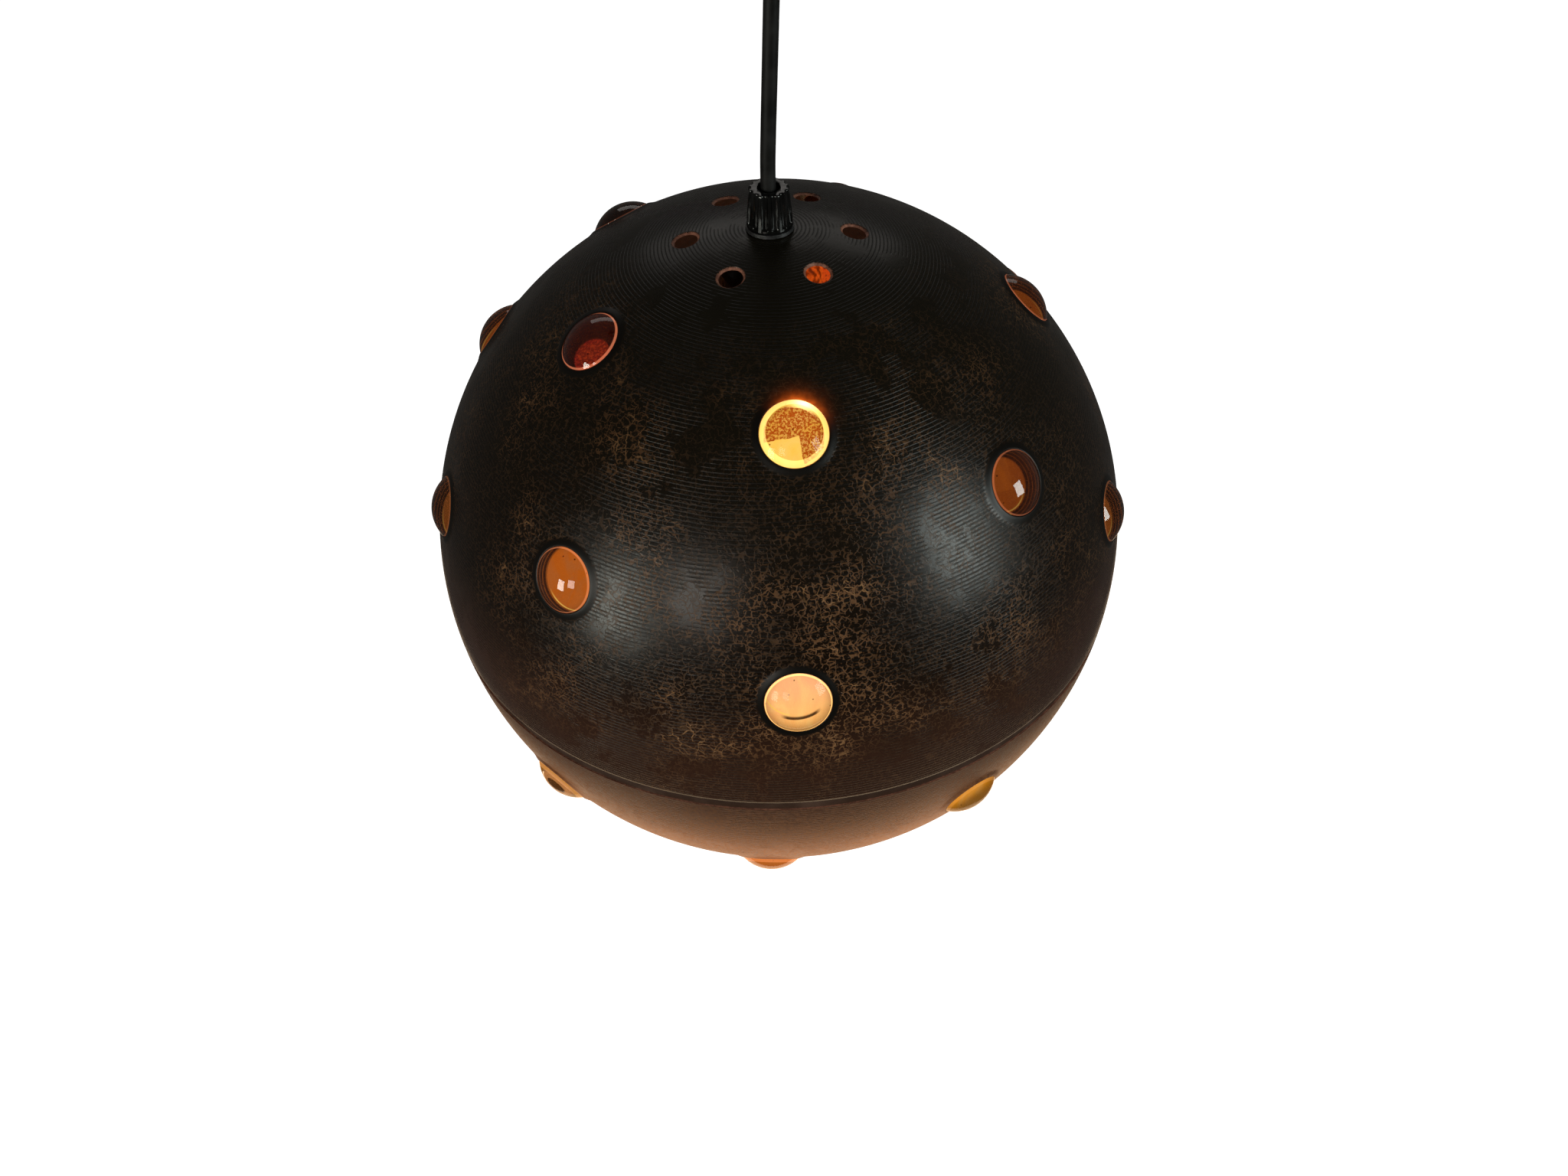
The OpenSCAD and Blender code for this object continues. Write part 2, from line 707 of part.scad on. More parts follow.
// Moulded clamp that holds the end of the cord under the eye
module cord_clamp() {
    edge = 1.5;
    slot = [eye_t + 2 * seat_gap, tang_w + 2 * seat_gap, tang_depth + seat_gap + 1];
    color("#202022") difference() {
        union() {
            translate([0, 0, clamp_low]) cylinder(h = edge, r1 = clamp_r - edge, r2 = clamp_r);
            translate([0, 0, clamp_low + edge]) cylinder(h = clamp_h - 2 * edge, r = clamp_r);
            translate([0, 0, clamp_top - edge]) cylinder(h = edge, r1 = clamp_r, r2 = clamp_r - edge);
        }
        translate([-slot[0] / 2, -slot[1] / 2, clamp_top - tang_depth - seat_gap]) cube(slot);
        translate([0, 0, clamp_low - 1]) cylinder(h = cord_top - clamp_low + 1, r = cord_r + 0.1);
        for (side = [-1, 1]) {
            translate([side * clamp_screw_x, clamp_d, clamp_screw_z]) rotate([90, 0, 0])
            cylinder(h = clamp_d * 2, r = clamp_screw_r + seat_gap);
            translate([side * wire_at[0], wire_at[1], clamp_top - wire_sunk])
            cylinder(h = wire_sunk + 1, r = wire_r + seat_gap);
        }
    }
}

// Two screws that squeeze the clamp on the cord
module clamp_screws() {
    head_r = 2.6;
    head_h = 1.8;
    slot_w = 0.7;
    reach = sqrt(pow(clamp_r, 2) - pow(clamp_screw_x - head_r, 2)) + seat_gap;
    color("#b7babd") for (side = [-1, 1]) {
        translate([side * clamp_screw_x, 0, clamp_screw_z]) rotate([90, 0, 0]) {
            translate([0, 0, -clamp_r + 1]) cylinder(h = reach + clamp_r - 1 + eps, r = clamp_screw_r);
            translate([0, 0, reach]) difference() {
                cylinder(h = head_h, r = head_r);
                translate([-head_r - 1, -slot_w / 2, head_h - 0.8]) cube([2 * head_r + 2, slot_w, 1]);
            }
        }
    }
}

// Two insulated wires of the cord, stripped at their ends for the ceiling connection
module wire_tails() {
    bare_l = 5;
    bare_r = wire_r * 0.55;
    color("#8a4b23") for (side = [-1, 1]) {
        translate([side * wire_at[0], wire_at[1], clamp_top - wire_sunk]) {
            cylinder(h = wire_sunk + wire_rise - bare_l, r = wire_r);
            cylinder(h = wire_sunk + wire_rise, r = bare_r);
        }
    }
}

// Ceiling cup: a thin bell on a thick neck, with a boss for the thumb screw
module ceiling_cup() {
    rim_r = cup_d / 2;
    foot_r = neck_d / 2;
    steps = 16;
    // Radius and height of the bell at t, from 0 at the neck to 1 at the rim
    bell_r = function(t) foot_r + (rim_r - foot_r) * pow(sin(90 * t), 0.75);
    bell_z = function(t, low) low + (cup_h - low) * pow(t, 1.25);
    outer = [for (i = [0:steps]) [bell_r(i / steps), bell_z(i / steps, neck_h)]];
    inner = [for (i = [steps:-1:0]) [bell_r(i / steps) - cup_wall, bell_z(i / steps, neck_h + cup_wall)]];
    color("#141415") translate([0, 0, cup_low]) difference() {
        union() {
            rotate_extrude() polygon(concat(
                [[neck_bore_d / 2, 0], [foot_r - 1, 0], [foot_r, 1]],
                outer,
                inner,
                [[neck_bore_d / 2, neck_h + cup_wall]]
            ));
            translate([foot_r - 1, 0, neck_h / 2]) rotate([0, 90, 0])
            cylinder(h = thumb_boss_l + 1, r = thumb_d / 2 + 1.6);
        }
        translate([0, 0, neck_h / 2]) rotate([0, 90, 0])
        cylinder(h = neck_d + thumb_boss_l, r = thumb_d / 2 + run_gap);
    }
}

// Plastic screw that clamps the cup on the cord
module thumb_screw() {
    tip = cord_r + 2 * run_gap;
    head_x = neck_d / 2 + thumb_boss_l + run_gap;
    head_l = 4;
    slot_w = 1.2;
    color("#141415") translate([0, 0, thumb_z]) rotate([0, 90, 0]) difference() {
        union() {
            translate([0, 0, tip]) cylinder(h = head_x - tip + eps, r = thumb_d / 2);
            translate([0, 0, head_x]) cylinder(h = head_l, r = thumb_head_d / 2);
        }
        translate([-thumb_head_d, -slot_w / 2, head_x + head_l - 1]) cube([2 * thumb_head_d, slot_w, 2]);
    }
}

ceiling_hook();
hanging_ring();
hanging_eye();
cord_clamp();
clamp_screws();
wire_tails();
cord();
ceiling_cup();
thumb_screw();
cord_grip();
grip_washer();
threaded_tube();
inner_washer();
lock_nut();
holder_cap();
holder_body();
holder_insert();
screw_shell();
centre_contact();
contact_screws();
upper_shell();
upper_cement();
lower_shell();
lower_cement();
bulb_glass();
bulb_cap();
bulb_insulator();
for (i = [0:len(upper_glass) - 1]) {
    glass_button(upper_places[i]);
}
for (i = [0:len(lower_glass) - 1]) {
    glass_button(lower_places[i]);
}
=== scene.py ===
"""Pendant lamp: two spun shells in crackled dark lacquer with amber glass buttons, lit from inside."""

import json
import math
from collections import namedtuple

import bpy
import numpy as np
from mathutils import Matrix, Vector
from mathutils.geometry import delaunay_2d_cdt


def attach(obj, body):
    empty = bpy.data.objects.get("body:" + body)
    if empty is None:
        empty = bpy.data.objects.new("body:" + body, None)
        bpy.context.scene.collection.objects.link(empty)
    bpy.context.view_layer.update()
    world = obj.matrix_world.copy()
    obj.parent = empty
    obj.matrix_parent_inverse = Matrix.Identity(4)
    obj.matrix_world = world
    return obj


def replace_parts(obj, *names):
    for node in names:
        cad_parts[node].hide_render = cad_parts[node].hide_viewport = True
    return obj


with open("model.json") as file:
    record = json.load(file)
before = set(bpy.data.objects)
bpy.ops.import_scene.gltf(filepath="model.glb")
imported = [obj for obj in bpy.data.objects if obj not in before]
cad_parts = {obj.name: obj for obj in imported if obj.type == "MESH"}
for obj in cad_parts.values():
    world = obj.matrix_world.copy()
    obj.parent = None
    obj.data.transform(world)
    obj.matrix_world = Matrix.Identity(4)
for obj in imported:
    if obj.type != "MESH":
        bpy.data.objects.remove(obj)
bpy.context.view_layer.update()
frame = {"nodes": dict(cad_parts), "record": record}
nodes = frame["nodes"]


def hundredth(length):
    """A length in metres, rounded to a hundredth of a millimetre."""
    return round(length, 5)


# Measures in metres, as in the part's source
BALL = np.array([-0.004, 0.0, -0.360])
BALL_R = 0.150
SHEET = 0.001
# Seam between the shells and the lip behind it, heights from the middle of the ball
SEAM_DROP = 0.014
SEAM_GAP = 0.005
LIP_H = 0.010
LIP_PLAY = 0.0003
LIP_OVERLAP = 0.0022
LIP_R = hundredth(math.sqrt((BALL_R - SHEET) ** 2 - SEAM_DROP ** 2) - LIP_PLAY)
LIP_LOW = hundredth(-SEAM_DROP - SEAM_GAP - LIP_OVERLAP)
LIP_TOP = hundredth(LIP_H - SEAM_DROP)
# Light opening at the bottom and the bead rolled round it
MOUTH_R = 0.090
BEAD_R = 0.002
BEAD_PROUD = 0.0003
# The bead's lacquer is that of the ball at this distance from its top
BEAD_ARC = 0.33
# Vents round the crown; their turn is in degrees
VENTS = 6
VENT_RING_R = 0.0327
VENT_TURN = 2.25
VENT_R = 0.0047
VENT_BEVEL = 0.0011
VENT_BEVEL_H = 0.9 * SHEET
# Glass buttons and the pressed collars that they stand in, heights from the middle of the ball
GLASS_R = 0.0124
GLASS_PLAY = 0.00015
DOME_H = 0.0052
DOME_R = (GLASS_R ** 2 + DOME_H ** 2) / (2 * DOME_H)
HOLE_R = hundredth(GLASS_R + GLASS_PLAY)
COLLAR_W = 0.0031
COLLAR_H = 0.001
COLLAR_ROUND = 0.00035
COLLAR_ROUND_H = 0.00016
COLLAR_BLEND = 0.0002
COLLAR_TOP_R = hundredth(HOLE_R + COLLAR_ROUND)
COLLAR_FOOT_R = hundredth(COLLAR_TOP_R + COLLAR_W)
COLLAR_TOP = hundredth(math.sqrt(BALL_R ** 2 - COLLAR_FOOT_R ** 2) + COLLAR_H)
COLLAR_LIFT = hundredth(COLLAR_TOP - math.sqrt(BALL_R ** 2 - COLLAR_TOP_R ** 2))
FLANGE_R = hundredth(HOLE_R + 0.002)
FLANGE_T = 0.003
SHOULDER = hundredth(COLLAR_TOP - SHEET - GLASS_PLAY)
SHOULDER_LOW = hundredth(SHOULDER - (FLANGE_R - COLLAR_TOP_R) * COLLAR_H / COLLAR_W)
FLANGE_LOW = hundredth(SHOULDER_LOW - FLANGE_T)
# Threaded tube, cord grip and cord; the grip's heights count from the top of the ball
TUBE_R = 0.005
TUBE_TOP = 0.010
TUBE_BORE_R = 0.0035
TUBE_HOLE_R = hundredth(TUBE_R + 0.0002)
GRIP_LOW = 0.00185
GRIP_H = 0.015
GRIP_FOOT_R = 0.009
GRIP_TOP_R = 0.00775
GRIP_EDGE = 0.0006
RECESS_R = 0.0044
RECESS_H = 0.003
FLUTES = 14
FLUTE_CUT_R = 0.0013
FLUTE_DEPTH = 0.0008
CORD_R = 0.0029
# The cord's way up, x and z in millimetres
CORD_ROUTE = [
    (-4, -218), (-4, -206), (-4.2, -196), (-4.1, -184), (-3.5, -170), (-2.8, -156), (-2.1, -142),
    (-1.4, -128), (-0.8, -116), (-0.3, -106), (0, -96), (0, -87), (0, -78),
]
# Places of the glass buttons: latitude and longitude in degrees, one row after another
BUTTON_ROWS = {
    "a": [(53, 4), (58, -60), (54, -134), (45, 163), (46, 96)],
    "b": [(27, -37), (36, -104), (33, -172), (30, 125), (36, 47)],
    "c": [(15, 2), (18, -75), (15, -142), (12, 150), (16, 71)],
    "d": [(-23, -45), (-22, -115), (-20, 175), (-24, 104), (-20, 33)],
    "e": [(-40, -4), (-38, -80), (-41, -150), (-39, 140), (-41, 68)],
}
# How a button is lit, as painted light: tone from dark red (0) to pale peach (1), glow, share of dark grains;
# the direction of its dark crescent of painted shade in degrees from the right-hand side, its inner radius
# and width; its rim's glow and inner radius. Radii and widths are over the dome's radius. A crescent whose
# inner radius is 2 or more doesn't show.
Look = namedtuple("Look", "tone glow grain way moon_r moon_w rim_glow rim_r")
BUTTON_LOOKS = {
    "a1": Look(0.80, 1.02, 1.0, 97, 2.00, 1.00, 0.92, 0.820),
    "a2": Look(0.03, 1.60, 0.9, 140, 0.50, 2.00, 0.60, 0.950),
    "a3": Look(0.30, 0.03, 0.4, -120, 0.30, 2.00, 0.10, 0.970),
    "a4": Look(0.25, 0.12, 0.4, 90, 0.60, 2.00, 0.10, 0.960),
    "a5": Look(0.34, 0.26, 0.0, 10, 0.62, 2.00, 0.26, 0.970),
    "b1": Look(0.43, 0.74, 0.0, 205, 0.91, 2.00, 0.42, 0.955),
    "b2": Look(0.38, 0.26, 0.0, 180, 0.74, 2.00, 0.06, 0.970),
    "b5": Look(0.37, 0.36, 0.5, -20, 0.72, 2.00, 0.28, 0.960),
    "c1": Look(1.00, 1.06, 0.0, -82, 0.92, 0.09, 0.95, 0.955),
    "c2": Look(0.46, 0.20, 0.0, 180, 0.62, 2.00, 0.12, 0.970),
    "c5": Look(0.46, 0.22, 0.0, 0, 0.58, 2.00, 0.14, 0.970),
    "d1": Look(0.60, 0.92, 0.0, 90, 3.00, 1.00, 0.34, 0.860),
    "d5": Look(0.60, 0.74, 0.0, 90, 3.00, 1.00, 0.14, 0.900),
    "e1": Look(0.46, 0.90, 0.0, 90, 3.00, 1.00, 0.34, 0.860),
}
PLAIN_LOOK = Look(0.44, 0.60, 0.3, 90, 0.92, 2.00, 0.30, 0.950)

# The photograph's viewpoint, worked out from the ball's outline, the seam, the vents and the cord: distance,
# elevation and roll in degrees, the place aimed at from the middle of the ball, the focal length in pixels
EYE_DISTANCE = 0.669967
EYE_ELEVATION = 41.2101
EYE_ROLL = -1.6432
EYE_AIM = (0.001405, 0, -0.04183)
FOCAL_PIXELS = 1927.75
PHOTO_WIDTH = 2048
SENSOR_WIDTH = 36


# Camera at the photograph's angle

def make_camera():
    elevation, roll = math.radians(EYE_ELEVATION), math.radians(EYE_ROLL)
    eye = Vector(BALL) + EYE_DISTANCE * Vector((0, -math.cos(elevation), math.sin(elevation)))
    target = Vector(BALL) + Vector(EYE_AIM)
    ahead = (target - eye).normalized()
    right = ahead.cross(Vector((0, 0, 1))).normalized()
    up = right.cross(ahead)
    right, up = (
        right * math.cos(roll) + up * math.sin(roll),
        up * math.cos(roll) - right * math.sin(roll),
    )
    data = bpy.data.cameras.new("camera")
    data.sensor_width = SENSOR_WIDTH
    data.lens = SENSOR_WIDTH * FOCAL_PIXELS / PHOTO_WIDTH
    data.clip_start, data.clip_end = 0.01, 50
    camera = bpy.data.objects.new("camera", data)
    camera.matrix_world = Matrix(
        [[right[i], up[i], -ahead[i], eye[i]] for i in range(3)] + [[0, 0, 0, 1]]
    )
    bpy.context.scene.collection.objects.link(camera)
    bpy.context.scene.camera = camera


make_camera()


# Places on the ball

def place_axis(latitude, longitude):
    """Unit vector of a place on the ball: longitudes count from the front towards +X."""
    la, lo = math.radians(latitude), math.radians(longitude - 90)
    return np.array([math.cos(la) * math.cos(lo), math.cos(la) * math.sin(lo), math.sin(la)])


# Recipes for materials

class Recipe:
    """A material's nodes, wired by the names of their sockets, or by their numbers as _0 and _1."""

    def __init__(self, name):
        self.material = bpy.data.materials.new(name)
        self.material.use_nodes = True
        self.tree = self.material.node_tree
        self.tree.nodes.clear()
        self.out = self.tree.nodes.new("ShaderNodeOutputMaterial")
        self.coords = self.tree.nodes.new("ShaderNodeTexCoord").outputs["Object"]

    def put(self, kind, settings=(), **inputs):
        node = self.tree.nodes.new("ShaderNode" + kind)
        for key, value in dict(settings).items():
            setattr(node, key, value)
        for key, value in inputs.items():
            name = key.replace("_", " ")
            socket = node.inputs[int(key[1:])] if key[1:].isdigit() else node.inputs[name]
            self.join(socket, value)
        return node

    def join(self, socket, value):
        if isinstance(value, bpy.types.NodeSocket):
            self.tree.links.new(value, socket)
        elif isinstance(value, (tuple, list)) and socket.type == "RGBA" and len(value) == 3:
            socket.default_value = (*value, 1)
        else:
            socket.default_value = value

    def moved(self, scale):
        return self.put("Mapping", Vector=self.coords, Scale=scale).outputs[0]

    def value(self, name):
        return self.put("Attribute", {"attribute_name": name, "attribute_type": "GEOMETRY"}).outputs["Fac"]

    def noise(self, where, scale, detail=2.0, rough=0.5, distort=0.0, out="Fac"):
        how = {"Scale": scale, "Detail": detail, "Roughness": rough, "Distortion": distort}
        return self.put("TexNoise", Vector=where, **how).outputs[out]

    def math(self, operation, a, b=0.0):
        return self.put("Math", {"operation": operation}, _0=a, _1=b).outputs[0]

    def times(self, a, b):
        return self.math("MULTIPLY", a, b)

    def plus(self, a, b):
        return self.math("ADD", a, b)

    def minus(self, a, b):
        return self.math("SUBTRACT", a, b)

    def most(self, a, b):
        return self.math("MAXIMUM", a, b)

    def size(self, a):
        return self.math("ABSOLUTE", a)

    def vector(self, operation, a, b):
        return self.put("VectorMath", {"operation": operation}, _0=a, _1=b).outputs[0]

    def distance(self, a, b):
        return self.put("VectorMath", {"operation": "DISTANCE"}, _0=a, _1=b).outputs["Value"]

    def ramp(self, value, low, high, to_low=0.0, to_high=1.0):
        """A soft S from to_low, where the value is low, to to_high, where it is high."""
        m = self.put("MapRange", {"interpolation_type": "SMOOTHSTEP", "clamp": True}, Value=value)
        for key, v in {"From Min": low, "From Max": high, "To Min": to_low, "To Max": to_high}.items():
            m.inputs[key].default_value = v
        return m.outputs["Result"]

    def mix(self, factor, a, b):
        m = self.put("Mix", {"data_type": "RGBA"})
        self.join(m.inputs[0], factor)
        self.join(m.inputs[6], a)
        self.join(m.inputs[7], b)
        return m.outputs[2]

    def bump(self, height, depth, strength=1.0, normal=None):
        b = self.put("Bump", Height=height, Distance=depth, Strength=strength)
        if normal is not None:
            self.join(b.inputs["Normal"], normal)
        return b.outputs[0]

    def finish(self, **inputs):
        shader = self.put("BsdfPrincipled", **inputs)
        self.tree.links.new(shader.outputs[0], self.out.inputs["Surface"])
        return self.material


ROW_PITCH = 0.00155


class Lacquer(Recipe):
    """Dark lacquer that crackled over copper: cell borders broken into short worms, more of them in some
    patches, and faint rows of turning marks that follow the latitude. arc is the distance from the ball's top
    along its surface in metres, and halo is 1 on a button's collar and 0 away from it."""

    def __init__(self, name):
        super().__init__(name)
        self.here = self.vector("SUBTRACT", self.coords, tuple(BALL))
        self.arc, self.halo = self.value("arc"), self.value("halo")
        drift = self.vector("SUBTRACT", self.noise(self.here, 330, out="Color"), (0.5, 0.5, 0.5))
        drift = self.put("VectorMath", {"operation": "SCALE"}, _0=drift, Scale=0.0022).outputs[0]
        self.bent = self.vector("ADD", self.here, drift)
        self.worms = self.crackle(410, 0.045, 0.085, 0.450, 480)
        self.patch = self.noise(self.here, 24, 4, 0.6)
        self.small_patch = self.noise(self.here, 75, 3, 0.6)
        self.patchy = self.plus(self.times(self.patch, 0.6), self.times(self.small_patch, 0.4))
        # The most worn place lies to the left of the lowest front button
        away = self.distance(self.here, tuple(BALL_R * place_axis(9, -16)))
        self.patchy = self.plus(self.patchy, self.ramp(away, 0.004, 0.034, 0.10, -0.01))
        self.rows = self.turning_rows()

    def crackle(self, scale, low, high, gaps, gap_scale):
        """Lines along the borders of cells, 1 on a line and 0 off it, cut short where a noise is low."""
        cells = self.put("TexVoronoi", {"feature": "DISTANCE_TO_EDGE"}, Vector=self.bent, Scale=scale)
        kept = self.ramp(self.noise(self.bent, gap_scale, 1), gaps - 0.035, gaps + 0.035)
        return self.times(self.ramp(cells.outputs["Distance"], low, high, 1, 0), kept)

    def turning_rows(self):
        """Narrow grooves that wander a little, are broken here and there and stop at the collars."""
        shift = self.times(self.noise(self.here, 14), 0.004)
        phase = self.times(self.plus(self.arc, shift), 2 * math.pi / ROW_PITCH)
        rows = self.ramp(self.math("SINE", phase), 0.15, 0.85)
        rows = self.times(rows, self.ramp(self.noise(self.here, 60, 3, 0.6), 0.38, 0.52))
        return self.times(rows, self.ramp(self.halo, 0.0, 0.5, 1, 0))

    def coat(self, colour, lines, **surface):
        """The finished coat: rows and cracks cut in, and the brightest button's light spilt on it."""
        height = self.times(self.plus(self.rows, self.times(lines, 0.7)), -1.0)
        peel = self.noise(self.here, 420)
        spill = self.times(self.value("spill"), self.ramp(peel, 0.2, 0.8, 0.5, 1.0))
        return self.finish(
            Base_Color=colour,
            Normal=self.bump(peel, 0.00006, 0.4, self.bump(height, 0.00007)),
            IOR=1.5,
            Emission_Color=(1.0, 0.16, 0.012),
            Emission_Strength=spill,
            **surface,
        )


def lower_lacquer():
    """Browner than the upper coat, with copper grain; painted light from below brightens it by the opening.
    """
    r = Lacquer("lower_lacquer")
    lines = r.times(r.worms, r.ramp(r.patchy, 0.40, 0.62, 0.0, 0.5))
    # Painted light from below: towards the light opening the colour turns bright copper
    painted_light_below = r.ramp(r.arc, 0.247, 0.318)
    grain = r.ramp(r.noise(r.here, 640, 3, 0.75), 0.40, 0.62)
    base = r.mix(painted_light_below, (0.052, 0.020, 0.010), (0.32, 0.098, 0.026))
    bright = r.mix(painted_light_below, (0.120, 0.052, 0.027), (0.66, 0.27, 0.095))
    colour = r.mix(lines, r.mix(r.times(grain, 0.75), base, bright), (0.11, 0.06, 0.035))
    metal = r.ramp(r.arc, 0.250, 0.315, 0.2, 0.8)
    rough = r.ramp(grain, 0.0, 1.0, 0.36, 0.52)
    return r.coat(colour, lines, Metallic=metal, Roughness=rough, Specular_IOR_Level=0.36)


def upper_lacquer():
    """Near black: smooth on the crown, most worn on the belly, brown by the seam, bare at the lower edge."""
    r = Lacquer("upper_lacquer")
    crown = r.times(r.ramp(r.arc, 0.045, 0.100), r.ramp(r.arc, 0.090, 0.190, 0.36, 1.0))
    seam = r.ramp(r.arc, 0.205, 0.236, 1, 0.30)
    aside = r.size(r.put("SeparateXYZ", Vector=r.here).outputs["X"])
    kept = r.times(r.times(crown, seam), r.ramp(r.halo, 0.1, 0.8, 1, 0))
    kept = r.times(kept, r.ramp(aside, 0.070, 0.130, 1.0, 0.25))
    specks = r.crackle(660, 0.05, 0.09, 0.54, 700)
    lines = r.times(r.ramp(r.patchy, 0.38, 0.62, 0.48, 1.0), kept)
    lines = r.times(r.most(r.worms, r.times(specks, 0.6)), lines)
    veins = r.times(r.crackle(225, 0.022, 0.042, 0.42, 330), r.times(r.ramp(r.patchy, 0.55, 0.61), kept))
    # From the ground colour up: brown over the seam, painted shade in the turning grooves, the worn edge,
    # veins, collars and cracks
    base = r.mix(crown, (0.0070, 0.0056, 0.0030), (0.0060, 0.0030, 0.0012))
    base = r.mix(r.ramp(r.arc, 0.185, 0.235), base, (0.034, 0.0135, 0.0075))
    base = r.mix(r.times(r.rows, 0.55), base, (0.0010, 0.0008, 0.0006))
    edge = BALL_R * math.acos(-SEAM_DROP / BALL_R)
    base = r.mix(r.ramp(r.arc, edge - 0.0009, edge - 0.0004), base, (0.20, 0.14, 0.095))
    base = r.mix(veins, base, (0.27, 0.140, 0.062))
    base = r.mix(r.halo, base, (0.0030, 0.0022, 0.0014))
    crack = r.mix(r.ramp(r.patch, 0.40, 0.62), (0.060, 0.031, 0.015), (0.145, 0.068, 0.029))
    rough = r.plus(r.ramp(r.small_patch, 0.3, 0.7, 0.235, 0.28), r.times(r.rows, 0.16))
    rough = r.plus(rough, r.most(r.times(lines, 0.12), r.times(r.halo, 0.12)))
    return r.coat(r.mix(lines, base, crack), lines, Roughness=rough, Specular_IOR_Level=0.205)


def worn_metal(name, colour, dark, scale, metallic=1.0, rough=(0.35, 0.55), lit=None):
    """Metal with dull patches and a fine grain, and the bulb's red-orange light round the place lit."""
    r = Recipe(name)
    patch = r.noise(r.coords, scale, 4, 0.65)
    fine = r.noise(r.coords, scale * 9, 2, 0.6)
    mixed = r.ramp(r.plus(r.times(patch, 0.7), r.times(fine, 0.3)), 0.4, 0.62)
    glow = {}
    if lit:
        away = r.distance(r.coords, lit)
        glow = {"Emission_Color": r.mix(patch, (1.0, 0.05, 0.004), (1.0, 0.14, 0.010)),
                "Emission_Strength": r.times(r.ramp(away, 0.010, 0.026, 0.5, 0.0),
                                            r.ramp(fine, 0.35, 0.55, 0.3, 1.0))}
    return r.finish(
        Base_Color=r.mix(mixed, dark, colour),
        Metallic=metallic,
        Roughness=r.ramp(fine, 0.3, 0.7, *rough),
        Normal=r.bump(fine, 0.00008, 0.5),
        **glow,
    )


def moulded(name, colour, scale, rough, depth=0.00004, gloss=0.5):
    """Moulded plastic or rubber: a faint grain and rubbed patches."""
    r = Recipe(name)
    grain = r.noise(r.coords, scale, 3, 0.6)
    patch = r.noise(r.coords, scale / 18, 3, 0.6)
    lighter = tuple(min(1.0, c * 1.8 + 0.004) for c in colour)
    return r.finish(
        Base_Color=r.mix(r.ramp(patch, 0.35, 0.75), colour, lighter),
        Roughness=r.ramp(patch, 0.3, 0.7, rough * 0.8, rough * 1.25),
        Specular_IOR_Level=gloss,
        Normal=r.bump(grain, depth, 0.5),
    )


def amber(name, ior):
    """The clear amber of a dome: a few bubbles, streaks of darker melt, and light gathered at its rim."""
    r = Recipe(name)
    bubbles = r.put("TexVoronoi", {"feature": "F1"}, Vector=r.coords, Scale=470)
    size = r.put("SeparateColor", Color=bubbles.outputs["Color"]).outputs[0]
    few = r.ramp(size, 0.80, 0.84)
    spots = r.times(r.ramp(bubbles.outputs["Distance"], 0.10, 0.22, 1, 0), few)
    streaks = r.ramp(r.noise(r.moved((1, 1, 0.4)), 160, 3, 0.6, 1.2), 0.50, 0.74)
    colour = r.mix(r.times(streaks, 0.35), (1.0, 0.93, 0.84), (0.95, 0.66, 0.40))
    colour = r.mix(spots, colour, (0.06, 0.02, 0.008))
    rho, tone = r.value("rho"), r.value("tone")
    rim = r.ramp(r.minus(rho, r.value("rim_r")), 0.0, 0.02)
    rim = r.times(rim, r.value("rim_glow"))
    hot = r.value("hot")
    gather = r.mix(r.ramp(tone, 0.3, 0.9), (0.74, 0.215, 0.10), (1.0, 0.56, 0.17))
    return r.finish(
        Base_Color=colour,
        Roughness=0.02,
        IOR=ior,
        Transmission_Weight=1.0,
        Emission_Color=r.mix(hot, gather, (1.0, 0.80, 0.30)),
        Emission_Strength=r.plus(r.times(hot, 2.2), rim),
    )


